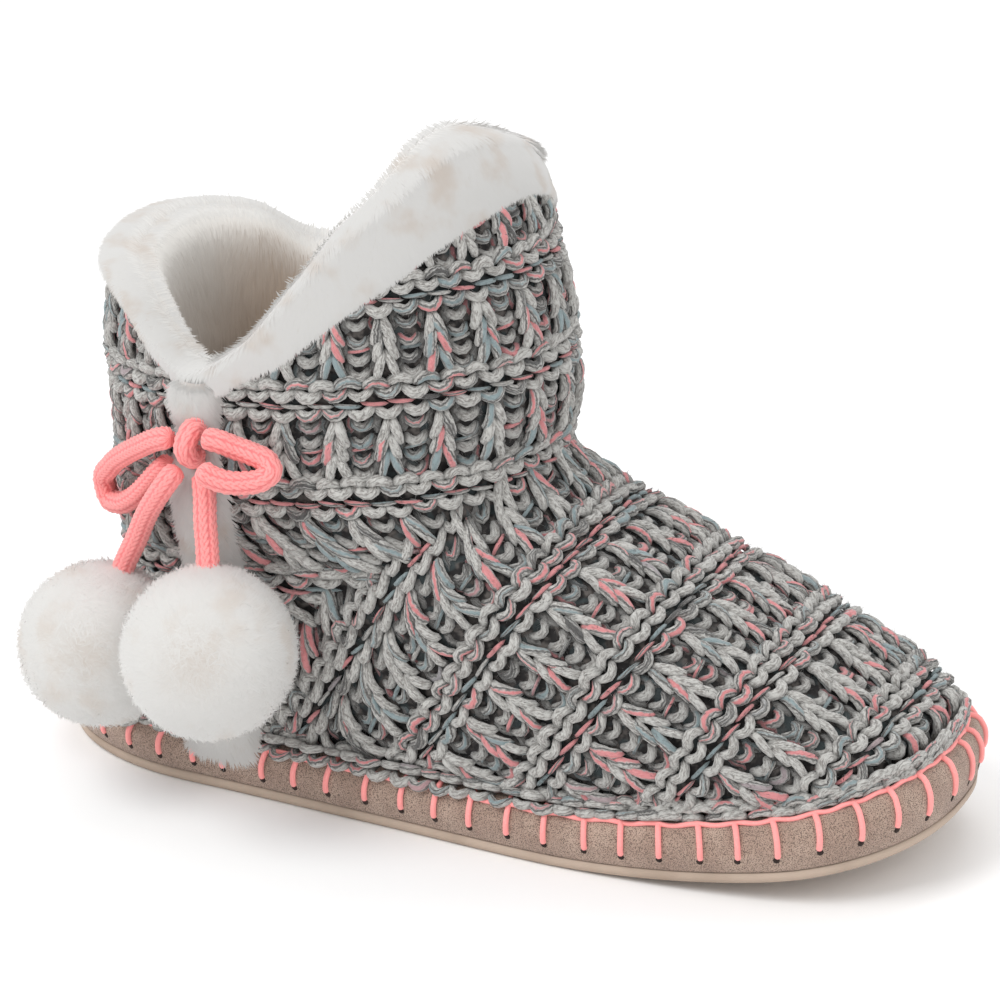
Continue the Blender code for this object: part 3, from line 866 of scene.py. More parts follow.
@dataclass
class Fleece:
    """Fur as thousands of flat tapering hairs that overlap like thatch."""

    length: float = 0.0046
    width: float = 0.00046
    jitter: float = 0.11
    # how far the pile's lie bends a hair at its start and at its tip, how far the tip still stands
    bent: tuple[float, float] = (0.7, 1.5)
    stands: float = 0.55
    # the hairs' least and greatest share of the length, and of the width
    lengths: tuple[float, float] = (0.75, 1.12)
    widths: tuple[float, float] = (0.7, 1.25)

    def hairs(self, roots: Array, out: Array, lean: Array, rng: Any, length: Array | float = 1.0,
              deep: Array | float = 0.0, lift: Array | float = 1.0,
              pale: Array | float = 0.0) -> Piece:
        """Hairs that start at roots.

        A hair leaves along out bent towards lean, and bends further along its length. Its flat side
        faces outwards, so that it takes the light as the pile's surface does.

        Args:
            roots: Where the hairs start.
            out: Straight out of the pile at each root.
            lean: The way that the pile lies, with its strength as the length.
            rng: The source of random numbers.
            length: Each hair's share of the full length.
            deep: How shaded each hair is.
            lift: How far each hair stands up, 1 for loose fur and less where it lies flat.
            pale: How much whiter each hair is: painted light on the cuff, a paler colour on the pompoms.

        Returns:
            All hairs as one piece of triangles.
        """
        count = len(roots)
        lift = np.broadcast_to(lift, (count,))[:, None]
        noise = rng.normal(size=(count, 3)) * self.jitter * lift
        start = unit(out * lift + self.bent[0] * lean + noise)
        end = unit(out * self.stands * lift + self.bent[1] * lean + noise * 2.0)
        reach = self.length * length * rng.uniform(*self.lengths, count)
        mid = roots + start * (reach * 0.5)[:, None]
        tip = mid + end * (reach * 0.5)[:, None]
        across = unit(np.cross(tip - roots, out + 0.10 * rng.normal(size=(count, 3))))
        half = across * self.width * rng.uniform(*self.widths, (count, 1)) / 2
        corners = np.stack([roots, mid + half, tip, mid - half], 1)
        one = np.array([[0, 1, 3], [1, 2, 3]])
        faces = (one[None] + np.arange(count)[:, None, None] * 4).reshape(-1, 3)
        shades = {"deep": deep, "pale": pale}
        values = {name: np.repeat(np.broadcast_to(shade, (count,)), 4) for name, shade in shades.items()}
        values["reach"] = np.tile([0.2, 0.6, 1.0, 0.6], count)
        bend = np.stack([-start, 0 * start, end, 0 * start], 1)
        normals = unit(out[:, None, :] + 0.10 * bend + 0.6 * noise[:, None, :])
        return Piece(corners.reshape(-1, 3), faces, values=values, normals=normals.reshape(-1, 3))


@dataclass
class Cuff:
    """The fur folded over the rim, with its outer band, its crest and its lining."""

    around: int = 220
    # side, out, up: the section of the solid, from the band's edge over the crest to the lining
    section: tuple = (
        (1, 0.00, 0.00), (1, 0.75, 0.02), (1, 1.00, 0.20), (1, 1.00, 0.50), (1, 0.95, 0.78),
        (1, 0.72, 0.92), (0, 0.00, 1.00), (-1, 0.50, 0.98), (-1, 1.05, 0.91), (-1, 1.55, 0.77),
        (-1, 1.90, 0.56), (-1, 1.60, 0.24), (-1, 0.00, 0.00),
    )
    rows: int = 61
    hair_count: int = 96000
    # share of the section, share of the hairs before it, how far they stand up
    spread: tuple = (
        (0.02, 0.00, 0.80), (0.12, 0.22, 0.70), (0.20, 0.34, 0.35), (0.42, 0.58, 0.30),
        (0.50, 0.68, 0.32), (0.60, 0.80, 0.45), (0.92, 1.00, 0.70))
    # how high the hairs lie over the pile's surface, and how far they hang below its edge
    lie: float = 0.0027
    droop: float = 0.0022
    # the band's least thickness
    least: float = 0.0009
    # how much thinner the band is at the heel and over the instep
    slim: float = 0.0035
    # how far the crest leans inwards there
    pull: float = 0.0042
    inner_reach: float = 0.052
    # the last's angle at the middle of the lining's shaded part, and how far the shade spreads
    shaded: float = 1.90
    shade_width: float = 0.70
    # how flat the pile lies, and how far and how quickly it sways to both sides
    flat: float = 2.2
    sway: float = 0.40
    waves: tuple[float, float, float] = (150.0, 110.0, 190.0)
    ripple: float = 420.0
    # how much shorter the hairs are at the band's edge, and how much longer inside
    edge_short: float = 0.3
    inner_long: float = 0.6
    # the share of the section where the pile's lie turns over, and how sharply
    turned: tuple[float, float] = (0.51, 14.0)
    # shares where the painted tan shade, the painted shade deeper in and the painted light of the inside
    # begin, and how far they take
    shade_rise: tuple[float, float] = (0.56, 0.16)
    depth_shade_rise: tuple[float, float] = (0.70, 0.25)
    painted_light_rise: tuple[float, float] = (0.50, 1 / 12)
    fleece: Fleece = field(default_factory=Fleece)

    def grid(self) -> Array:
        """The pile's surface: rows along the section by points around the shaft."""
        last = LAST
        angle = np.linspace(0, 2 * math.pi, self.around, endpoint=False)
        crest, rim, edge, proud = last.collar(angle)
        crest, edge = crest - self.lie, edge + self.droop
        proud = np.maximum(proud - self.lie - self.slim * np.cos(angle) ** 4, self.least)
        lining = rim - self.inner_reach
        stack = []
        thick = last.wall_thick + last.fur
        for side, out, up in self.section:
            low = edge if side > 0 else lining
            level = low + up * (crest - low)
            base = np.minimum(level, rim)
            flat = last.outward(angle, base) * FLAT
            flat /= np.maximum(np.sum(flat**2, axis=-1, keepdims=True), 0.2)
            inner = -last.wall_thick - out * last.fur
            offset = {1: out * proud, 0: (proud - thick) / 2, -1: inner}[side]
            offset = offset - self.pull * np.cos(angle) ** 4 * up**4
            ring = last.wall(angle, base) + flat * offset[:, None]
            ring[:, 2] = level
            stack.append(ring)
        given = np.arange(len(stack), dtype=float)
        at = np.linspace(0, len(stack) - 1, self.rows)
        flat = np.stack(stack).reshape(len(stack), -1)
        fine = np.stack([smooth(at, given, flat[:, k]) for k in range(flat.shape[1])], axis=-1)
        return fine.reshape(self.rows, self.around, 3)

    def painted_light_and_shade(self, share: Array, angle: Array) -> tuple[Array, Array]:
        """Painted shade and painted light of the pile at a share of the section and an angle around."""
        away = (angle - self.shaded + math.pi) % (2 * math.pi) - math.pi
        # painted tan shade on the lining's far wall, painted shade deeper in the lining, and painted light
        # over the crest and inside
        far = bell(away, self.shade_width) * rise(share, *self.shade_rise)
        deep = np.clip(0.5 * rise(share, *self.depth_shade_rise) + far, 0, 1)
        return deep, rise(share, *self.painted_light_rise) * (1 - 0.85 * far)

    def build(self, fur: Any) -> Any:
        """The pile's surface and its hairs as two pieces."""
        grid = self.grid()
        shares = np.linspace(0, 1, self.rows)[:, None]
        angles = np.linspace(0, 2 * math.pi, self.around, endpoint=False)[None, :]
        deep, pale = self.painted_light_and_shade(shares, angles)
        base = grid_piece(grid, wrap=True, reach=1.0, deep=deep, pale=pale)
        made = base.make("cuff_pile", fur, Slot.FUR)
        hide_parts("cuff")
        rng = np.random.default_rng(5)
        count = self.hair_count
        places, before, lifts = np.array(self.spread).T
        row = np.interp(rng.uniform(0, 1, count), before, places) * (self.rows - 1)
        turn = rng.uniform(0, self.around, count)
        roots, onward, along = on_grid(grid, row, turn)
        down = -onward
        out = unit(np.cross(down, along))
        share = row / (self.rows - 1)
        outside = rng.uniform(0, 1, count) < 0.5 + (self.turned[0] - share) * self.turned[1]
        lean = down * np.where(outside, self.flat, -self.flat)[:, None]
        sway = np.sin(roots @ np.array(self.waves)) + np.sin(roots[:, 0] * self.ripple)
        lean = lean + along * sway[:, None] * self.sway
        reach = 1 - self.edge_short * bell(share, 0.12) + self.inner_long * rise(share, 0.60, 0.2)
        deep, pale = self.painted_light_and_shade(share, turn / self.around * 2 * math.pi)
        lift = np.interp(share, places, lifts)
        hairs = self.fleece.hairs(roots, out, lean, rng, reach, deep, lift, pale)
        return hairs.make("cuff_fur", fur, Slot.FUR, clear=True)


@dataclass
class Sole:
    """The outsole, the cloth-covered side and the insole."""

    around: int = 420
    # share of the height, share of the rounding
    side_profile: tuple = (
        (0.00, 0.26), (0.18, 0.10), (0.44, 0.00), (0.74, 0.16), (0.93, 0.58), (1.00, 1.00))
    tread_profile: tuple = ((0.00, 2.6), (0.08, 1.6), (0.30, 1.0), (1.00, 0.9))
    side_rows: int = 26
    # the share of the side's height where the stitches are counted off
    sewn: float = 0.9

    def side(self, angle: Array, share: Array) -> Array:
        """The cloth side: the outline moved in by the profile, at a share of its height."""
        last = LAST
        shares, insets = np.array(self.side_profile).T
        inset = smooth(share, shares, insets) * last.side_round
        lift = last.toe_spring + share * last.toe_rise
        return last.sole_line(angle, last.side_base + share * last.side_height, inset, lift)

    def side_out(self, angle: Array, share: Array) -> Array:
        """The unit direction straight out of the cloth side."""
        along = self.side(angle + 1e-3, share) - self.side(angle - 1e-3, share)
        up = self.side(angle, np.minimum(share + 1e-2, 1)) - self.side(angle, share - 1e-2)
        return unit(np.cross(along, up))

    def edge_run(self) -> tuple[Array, Array]:
        """Close angles around the shoe, and the length along the sewn edge up to each."""
        angle = np.linspace(0, 2 * math.pi, 2000)
        return angle, run_along(self.side(angle, np.full(2000, self.sewn)))

    def slab(self, stack: Array) -> Piece:
        """Rings up a side, closed across at the bottom and the top."""
        def closing(ring: Array) -> Array:
            """Rings from this one in to the slab's middle line."""
            middle = (ring + ring[-np.arange(len(ring))]) / 2
            middle = np.stack([ring[:, 0], middle[:, 1], ring[:, 2]], axis=-1)
            shares = np.linspace(0, 1, 5)[1:, None, None]
            return ring + (middle - ring) * shares
        grid = np.concatenate([closing(stack[0])[::-1], stack, closing(stack[-1])])
        return grid_piece(grid, wrap=True)

    def build(self, suede: Any, tread: Any, pile: Any) -> None:
        """Makes the side and the outsole, and dresses the insole."""
        last = LAST
        angle = np.linspace(0, 2 * math.pi, self.around, endpoint=False)
        shares = np.linspace(0, 1, self.side_rows)
        side = self.side(angle[None, :], shares[:, None])
        made = self.slab(side).make("sole_side", suede, Slot.SUEDE)
        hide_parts("midsole")
        under = np.stack([
            last.sole_line(angle, share * last.outsole_thick, inset * last.outsole_inset,
                           last.toe_spring) for share, inset in self.tread_profile])
        made = self.slab(under).make("sole_tread", tread, Slot.TREAD)
        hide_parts("outsole")
        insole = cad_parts["insole"]
        insole.data.materials.clear()
        insole.data.materials.append(pile)


SOLE = Sole()


@dataclass
class Cloth:
    """The knitted fabric's lie on the upper: where a stitch of the foot or of the shaft goes.

    The shaft's courses run round it on planes that rise a little to the front. The foot's courses lie
    on planes tilted forwards, and meet the shaft's at a seam that runs back and down from the crease.
    """

    stitch: float = 0.0068
    shaft_stitches: int = 52
    # the height at which the shaft's stitches are equally wide
    shaft_level: float = 0.120
    shaft_rise: float = 0.105
    shaft_middle: float = -0.045
    foot_tilt: float = 0.62
    foot_start: float = -0.0712
    seam: tuple = ((-0.0650, 0.010), (-0.0340, 0.060), (0.0180, 0.0950), (0.050, 0.117))
    crease_depth: float = 0.0024
    crease_width: float = 0.0055
    # the length along X where the trough begins, and how far it takes
    crease_start: tuple[float, float] = (-0.070, 0.03)
    # the foot's first and last tabled course, and how many wales it has at most on each side
    foot_courses: tuple[float, float] = (-0.085, 0.0985)
    foot_wales: float = 36.0

    def __post_init__(self) -> None:
        """Works out the tables that lead from stitches to the last's angle and height."""
        last = LAST
        angle = np.linspace(-math.pi, math.pi, 721)
        run = run_along(last.wall(angle, np.full(721, self.shaft_level)))
        self.shaft_run, self.shaft_angle = run / run[-1], angle
        heights = np.linspace(last.upper_base, 0.170, 400)
        front = last.at("front", heights)
        lifted = heights + last.at("lift", heights) * last.top_lift * last.toe_curve(front)
        reach = front - self.foot_tilt * lifted
        self.course = np.linspace(*self.foot_courses, 120)
        top = np.interp(self.course, reach[::-1], heights[::-1])
        share = np.linspace(0, 1, 240)
        height = top[:, None] - (top[:, None] - last.upper_base) * share[None, :] ** 2
        x = self.course[:, None] + self.foot_tilt * height
        for _ in range(12):
            lifted = last.at("lift", height) * last.top_lift * last.toe_curve(x)
            x = self.course[:, None] + self.foot_tilt * (height + lifted)
        turn = last.angle_at(x, height)
        self.wale = np.arange(-self.foot_wales, self.foot_wales + 0.01, 0.5)
        self.foot_angle = np.zeros((len(self.course), len(self.wale)))
        self.foot_height = np.zeros_like(self.foot_angle)
        self.foot_limit = np.zeros((2, len(self.course)))
        for side, sign in enumerate((-1, 1)):
            line = last.wall(sign * turn, height)
            run = run_along(line) / self.stitch
            self.foot_limit[side] = run[:, -1]
            mine = self.wale * sign >= 0
            for k, row in enumerate(run):
                at = np.abs(self.wale[mine])
                self.foot_angle[k, mine] = sign * np.interp(at, row, turn[k])
                self.foot_height[k, mine] = np.interp(at, row, height[k])

    def seam_height(self, x: Array) -> Array:
        """Height of the seam between foot and shaft at the length x."""
        return np.interp(x, *np.array(self.seam).T)

    def relief(self, points: Array) -> Array:
        """How far the cloth stands in or out: a soft trough along the seam."""
        away = points[..., 2] - self.seam_height(points[..., 0])
        fade = rise(points[..., 0], *self.crease_start)
        return -self.crease_depth * bell(away, self.crease_width) * fade

    def skin(self, angle: Array, height: Array, proud: Array) -> tuple[Array, Array]:
        """A point of the cloth and the way out of it.

        Args:
            angle: The last's angle.
            height: The last's height.
            proud: How far the point stands out of the cloth.

        Returns:
            The point and the unit direction outwards.
        """
        out = LAST.outward(angle, height)
        base = LAST.wall(angle, height)
        return base + out * (proud + self.relief(base))[..., None], out

    def shaft(self, wale: Array, level: Array) -> tuple[Array, Array]:
        """Angle and height of a stitch on the shaft, from its wale and its course's level."""
        angle = np.interp((wale / self.shaft_stitches) % 1.0, self.shaft_run, self.shaft_angle)
        height = level
        for _ in range(4):
            x = LAST.wall(angle, np.maximum(height, LAST.upper_base))[..., 0]
            height = level + self.shaft_rise * (x - self.shaft_middle)
        return angle, height

    def foot(self, wale: Array, course: Array) -> tuple[Array, Array]:
        """Angle and height of a stitch on the foot, read between the tables' points."""
        row = np.interp(course, self.course, np.arange(len(self.course), dtype=float))
        column = np.interp(wale, self.wale, np.arange(len(self.wale), dtype=float))
        i = np.minimum(row.astype(int), len(self.course) - 2)
        j = np.minimum(column.astype(int), len(self.wale) - 2)
        s, t = row - i, column - j
        def read(table: Array) -> Array:
            """The table's value, weighted between its four nearest points."""
            near = table[i, j] * (1 - t) + table[i, j + 1] * t
            far = table[i + 1, j] * (1 - t) + table[i + 1, j + 1] * t
            return near * (1 - s) + far * s
        return read(self.foot_angle), read(self.foot_height)


@dataclass(frozen=True)
class Run:
    """One yarn run of the pattern: what it is and where its middle lies in the repeat."""

    kind: Stitch
    wale: float
    course: float
    bright: float
    mirror: int = 1


@dataclass
class Knit:
    """The knitted yarn: a repeat of two wales with two ridges and three rows of inverted Vs."""

    cloth: Cloth = field(default_factory=Cloth)
    yarn: float = 0.00140
    sunk: float = 0.0008
    steps: int = 8
    around: int = 7
    shaft_repeat: float = 0.0260
    shaft_lines: tuple = (0.0350, 0.0610, 0.0870, 0.1130, 0.1390, 0.1650)
    foot_repeat: float = 0.0293
    foot_line: float = -0.0530
    foot_rows: int = 6
    overlap: float = 0.0014
    # how far below the cuff's crest the strands end
    tucked: float = 0.0065
    # how much flatter they lie under the cuff
    pressed: float = 0.0012
    # the strands' random shift in stitches and millimetres, slant, thickness and brightness
    shift: tuple[float, float, float] = (0.03, 0.22, 0.14)
    slant: float = 0.35
    uneven: tuple[float, float] = (0.12, 0.07)
    mottled: float = 0.16
    # depth of the shade behind the yarn, and of the lining
    depths: tuple[float, float] = (0.0026, 0.0058)
    hem_pitch: float = 0.0058
    # half the width of a hem's loop, in loops
    hem_half: float = 0.60
    # how far a loop stands out of the side: its ends, its middle, and more for each row
    hem_out: tuple[float, float, float] = (-0.0010, 0.0022, 0.0004)
    # how far the third row draws in, and how high the lowest row and each one above it lies
    hem_in: float = 0.0007
    hem_rise: tuple[float, float] = (0.0010, 0.0014)
    fibres: int = 15000
    fibre_width: float = 0.00013
    fibre_lengths: tuple[float, float] = (0.0008, 0.0021)
    # how far along the strand a fibre may start from the strand's own points
    fibre_shift: float = 0.0007
    # length along X, how far the hem's loops hang as a share of the sole's side
    hem_drop: tuple = ((-0.125, 0.20), (0.000, 0.18), (0.060, 0.04), (0.125, 0.01))
    # wale, course and depth of each control point, in stitches and millimetres
    shapes: dict = field(default_factory=lambda: {
        Stitch.ARCH: (
            (-.54, -1.8, -1.8), (-.32, -0.2, 0.0), (0, 0.7, 0.7), (.32, -0.2, 0.0), (.54, -1.8, -1.8)),
        Stitch.BOWL: (
            (-.54, 1.8, -1.8), (-.32, 0.2, 0.0), (0, -0.7, 0.7), (.32, 0.2, 0.0), (.54, 1.8, -1.8)),
        Stitch.LINE: (
            (-.56, 0.5, -0.7), (-.28, 0.2, 0.3), (0, 0, 0.6), (.28, -0.2, 0.3), (.56, -0.5, -0.7)),
        Stitch.LEG: (
            (.02, 0.9, -1.4), (.12, -1.0, 0.5), (.23, -3.2, 1.0), (.34, -5.4, 0.7), (.40, -7.0, -1.0)),
        Stitch.SUNK: (
            (-.44, 1.9, -1.6), (-.30, 0.1, -0.2), (0, -0.9, 0.2), (.30, 0.1, -0.2), (.44, 1.9, -1.6)),
        Stitch.UNDER: (
            (-.10, 3.1, -1.7), (.06, 1.6, -1.1), (-.04, 0.0, -1.0), (.07, -1.6, -1.1), (-.08, -3.1, -1.7)),
    })
    thick: dict = field(default_factory=lambda: {
        Stitch.ARCH: 1.0, Stitch.BOWL: 1.0, Stitch.LINE: 0.42, Stitch.LEG: 0.93, Stitch.SUNK: 0.92,
        Stitch.UNDER: 0.9})

    def repeat(self) -> list[Run]:
        """The runs of one repeat, its course in millimetres from the bright line."""
        runs = [Run(Stitch.ARCH, wale, 6.0, 0.10) for wale in (0.5, 1.5)]
        runs += [Run(Stitch.BOWL, wale, 3.3, 0.05) for wale in (0.0, 1.0)]
        runs += [Run(Stitch.LINE, wale, 0.5, 1.0) for wale in (0.45, 1.45)]
        runs += [Run(Stitch.BOWL, wale, -1.7, 0.10) for wale in (0.0, 1.0)]
        for level, bright in ((-3.6, 0.20), (-7.8, 0.42), (-12.0, 0.62)):
            runs += [Run(Stitch.LEG, 0.0, level, bright, side) for side in (-1, 1)]
        runs += [Run(Stitch.SUNK, 1.0, level, 0.2) for level in (-5.2, -9.6, -14.0, -18.2)]
        runs += [Run(Stitch.LINE, 1.0, -11.6, 0.8, -1)]
        for wale in (0.5, 1.5):
            runs += [Run(Stitch.UNDER, wale, level, 0.3) for level in (-5.0, -11.0, -17.0)]
        return runs

    def lay(self, runs: list[Run], wale: Array, line: Array, scale: float, foot: bool,
            rng: Any) -> dict[str, Array]:
        """Lays every run of the repeat at every place.

        Args:
            runs: The runs of one repeat.
            wale: The wale where each repeat starts.
            line: The course of each repeat's bright line.
            scale: The repeat's height against the shaft's.
            foot: Whether this is the foot's cloth, and not the shaft's.
            rng: The source of random numbers.

        Returns:
            Paths, outward directions and the values that the shader reads, one row for each strand.
        """
        names = ("path", "out", "radius", "bright", "deep", "mid")
        found: dict[str, list] = {name: [] for name in names}
        middle = self.steps // 2
        share = np.linspace(0, 4, self.steps)
        ends = np.clip(np.minimum(share, 4 - share) / 0.55, 0, 1) ** 0.5
        ends = ends * (0.74 + 0.26 * np.sin(math.pi * share / 4))
        for run in runs:
            shape = np.array(self.shapes[run.kind], dtype=float)
            fine = np.stack([smooth(share, np.arange(5.0), shape[:, k]) for k in range(3)], axis=-1)
            count = len(wale)
            shift = rng.normal(size=(count, 3)) * self.shift
            lean = rng.normal(size=(count, 1)) * self.slant
            across = wale[:, None] + run.wale + run.mirror * fine[:, 0] + shift[:, :1]
            course = (run.course + fine[:, 1] + shift[:, 1:2] + lean * fine[:, 0]) * MM * scale
            flat = run.kind in (Stitch.SUNK, Stitch.UNDER) or (
                run.kind is Stitch.LINE and run.mirror < 0)
            proud = (fine[:, 2] + shift[:, 2:]) * MM - self.yarn - (self.sunk if flat else 0.0)
            if foot:
                tilt = math.hypot(1.0, self.cloth.foot_tilt)
                angle, height = self.cloth.foot(across, line[:, None] - course * tilt)
            else:
                angle, height = self.cloth.shaft(across, line[:, None] + course)
                crest, _, edge, _ = LAST.collar(angle)
                height = np.minimum(height, crest - self.tucked)
                proud = proud - rise(height - edge, 0.0005, 0.0015) * self.pressed
            point, out = self.cloth.skin(angle, np.maximum(height, LAST.upper_base), proud)
            size = self.yarn * self.thick[run.kind]
            for spread, points in zip(self.uneven, (1, self.steps)):
                size = size * rng.uniform(1 - spread, 1 + spread, (count, points))
            found["path"].append(point)
            found["out"].append(out)
            found["radius"].append(size * ends[None, :] + 1e-5)
            bright = run.bright + rng.normal(size=count) * self.mottled
            found["bright"].append(np.clip(bright, 0, 1 if run.kind is Stitch.LINE else 0.8))
            # painted shade: the deeper a point of a strand lies, and the runs that lie flat under the
            # others, the darker
            found["deep"].append(np.clip(-fine[:, 2] / 2.4 + (0.25 if flat else 0.0), 0, 1)
                                 + np.zeros((count, 1)))
            found["mid"].append(np.column_stack([
                point[:, middle], angle[:, middle], across[:, middle], height[:, middle]]))
        return {name: np.concatenate(rows) for name, rows in found.items()}

    def strands(self, laid: dict[str, Array], kept: Array, rng: Any) -> Piece:
        """The kept strands as one piece of tubes."""
        chosen = {name: rows[kept] for name, rows in laid.items()}
        count = int(np.count_nonzero(kept))
        piece = tubes(chosen["path"], chosen["out"], chosen["radius"], self.around)
        each = chosen["path"].shape[1] * self.around
        beside = rng.choice([-0.25, 0.25], count) + rng.normal(size=count) * 0.07
        piece.values = {
            "bright": np.repeat(chosen["bright"], each),
            "seed": np.repeat(beside, each),
            "pick": np.repeat(rng.uniform(size=count), each),
            "deep": np.repeat(chosen["deep"].ravel(), self.around),
        }
        return piece

    def fuzz(self, laid: dict[str, Array], kept: Array, rng: Any) -> Piece:
        """Short loose fibres that stand off the kept strands, one triangle each."""
        count = self.fibres
        strand = rng.choice(np.flatnonzero(kept), count)
        step = rng.integers(1, self.steps - 1, count)
        paths = laid["path"]
        along = unit(paths[strand, step + 1] - paths[strand, step - 1])
        out = laid["out"][strand, step]
        across = np.cross(along, out)
        turn = rng.normal(size=(count, 1)) * 0.9
        way = np.cos(turn) * out + np.sin(turn) * across
        root = paths[strand, step] + way * laid["radius"][strand, step][:, None] * 0.9
        root = root + along * rng.uniform(-self.fibre_shift, self.fibre_shift, (count, 1))
        lean = rng.normal(size=(count, 3)) * 0.6 + along * rng.choice([-1, 1], (count, 1)) * 0.9
        tip = root + unit(way * 0.8 + lean) * rng.uniform(*self.fibre_lengths, (count, 1))
        side = unit(np.cross(tip - root, way)) * self.fibre_width / 2
        corners = np.stack([root - side, tip, root + side], axis=1)
        return Piece(
            corners.reshape(-1, 3), np.arange(count * 3).reshape(-1, 3),
            normals=np.repeat(unit(way + 0.3 * lean), 3, axis=0))

    def hem(self, row: int, rng: Any) -> dict[str, Array]:
        """One row of the loops that hang over the top of the sole's side.

        Args:
            row: 0 for the lowest row and 1 and 2 for those above it, each set half a loop aside.
            rng: The source of random numbers.

        Returns:
            The same values as lay gives.
        """
        dense, run = SOLE.edge_run()
        count = int(run[-1] / self.hem_pitch)
        pitch = run[-1] / count
        turn = np.linspace(-self.hem_half, self.hem_half, self.steps)[None, :]
        start = np.arange(count)[:, None] + 0.5 * row + rng.normal(size=(count, 1)) * 0.07
        angle = np.interp((start + turn) * pitch % run[-1], run, dense)
        sag = 1 - (turn / self.hem_half) ** 2 + rng.normal(size=(count, 1)) * 0.22
        x = SOLE.side(angle, SOLE.sewn + 0 * angle)[..., 0]
        drop = np.interp(x, *np.array(self.hem_drop).T)
        low = 1 - drop * sag * max(1 - 0.55 * row, 0.0)
        point = SOLE.side(angle, np.clip(low, 0.3, 1.0))
        out = SOLE.side_out(angle, np.clip(low, 0.3, 0.985))
        ends_out, middle_out, more = self.hem_out
        proud = (ends_out + (middle_out + more * row) * sag)[..., None]
        proud = proud - self.hem_in * row * (row - 1)
        point = point + out * proud + UP * (self.hem_rise[0] + self.hem_rise[1] * row)
        ends = np.sqrt(np.clip(1 - (turn / 0.62) ** 4, 0, 1))
        radius = self.yarn * rng.uniform(0.72, 1.08, (count, 1)) * ends + 1e-5
        # painted shade: the ends of each loop, which go in under the cloth, are darker
        return {"path": point, "out": out, "radius": radius,
                "bright": np.clip(0.08 + rng.normal(size=count) * self.mottled, 0, 0.7),
                "deep": np.clip(0.7 - sag, 0, 1)}

    def backing(self, name: str, depth: float, material: Any, slot: Slot, flip: bool) -> Any:
        """A surface inside the yarn, from the sole to the collar's rim, depth below the cloth."""
        angle = np.linspace(-math.pi, math.pi, 180, endpoint=False)
        rim = LAST.collar(angle)[1]
        share = np.linspace(0, 1, 60)[:, None] ** 1.2
        height = LAST.upper_base + share * (rim - 0.001 - LAST.upper_base)
        points, _ = self.cloth.skin(angle + 0 * height, height, np.full(height.shape, -depth))
        piece = grid_piece(points, wrap=True)
        if flip:
            piece.faces = piece.faces[:, ::-1]
        return piece.make(name, material, slot)

    def dress(self, part: str, laid: dict[str, Array], kept: Array, inner: Array, yarn: Any,
              rng: Any) -> None:
        """Makes the kept strands of the shaft or the foot, one piece a side, and their fibres."""
        for side, beside in (("outer", ~inner), ("inner", inner)):
            strands = self.strands(laid, kept & beside, rng)
            strands.make(f"knit_{part}_{side}", yarn, Slot.KNIT)
        self.fuzz(laid, kept, rng).make(f"fuzz_{part}", yarn, Slot.KNIT)

    def shaft(self, yarn: Any, rng: Any) -> None:
        """Makes the shaft's yarn, from the seam up to the cuff's edge."""
        cloth = self.cloth
        wale, line = np.meshgrid(
            np.arange(0, cloth.shaft_stitches, 2.0), np.array(self.shaft_lines))
        laid = self.lay(self.repeat(), wale.ravel(), line.ravel(), 1.0, False, rng)
        x, y, z, angle, _, height = laid["mid"].T
        above = (z > cloth.seam_height(x) - self.overlap) | (
            x - cloth.foot_tilt * z < cloth.foot_start + self.overlap)
        edge = LAST.collar(angle)[2]
        kept = above & (height < edge + 0.006) & (height > LAST.upper_base + 0.0012)
        self.dress("shaft", laid, kept, y >= 0, yarn, rng)

    def foot(self, yarn: Any, rng: Any) -> None:
        """Makes the foot's yarn, from the seam down to the sole."""
        cloth = self.cloth
        scale = self.foot_repeat / self.shaft_repeat
        step = self.foot_repeat * math.hypot(1.0, cloth.foot_tilt)
        wale, line = np.meshgrid(
            np.arange(-cloth.foot_wales, cloth.foot_wales, 2.0),
            self.foot_line + step * np.arange(-1, self.foot_rows))
        laid = self.lay(self.repeat(), wale.ravel(), line.ravel(), scale, True, rng)
        x, _, z, _, across, _ = laid["mid"].T
        course = x - cloth.foot_tilt * z
        side = (across > 0).astype(int)
        limits = np.stack([np.interp(course, cloth.course, row) for row in cloth.foot_limit])
        inside = np.abs(across) < limits[side, np.arange(len(across))] - 0.1
        below = (z < cloth.seam_height(x) + self.overlap) & (
            course >= cloth.foot_start - self.overlap)
        kept = inside & below & (course < cloth.course[-1] - 0.0005)
        self.dress("foot", laid, kept, across >= 0, yarn, rng)

    def build(self, yarn: Any, shade: Any, pile: Any) -> None:
        """Makes the shade behind the yarn, the lining and the yarn itself."""
        made = self.backing("knit_backing", self.depths[0], shade, Slot.KNIT, False)
        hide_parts("upper")
        self.backing("lining", self.depths[1], pile, Slot.LINING, True)
        rng = np.random.default_rng(11)
        self.shaft(yarn, rng)
        self.foot(yarn, rng)
        rows = [self.hem(row, rng) for row in (0, 1, 2)]
        loops = {name: np.concatenate([row[name] for row in rows]) for name in rows[0]}
        every = np.ones(len(loops["path"]), dtype=bool)
        self.strands(loops, every, rng).make("knit_hem", yarn, Slot.KNIT)


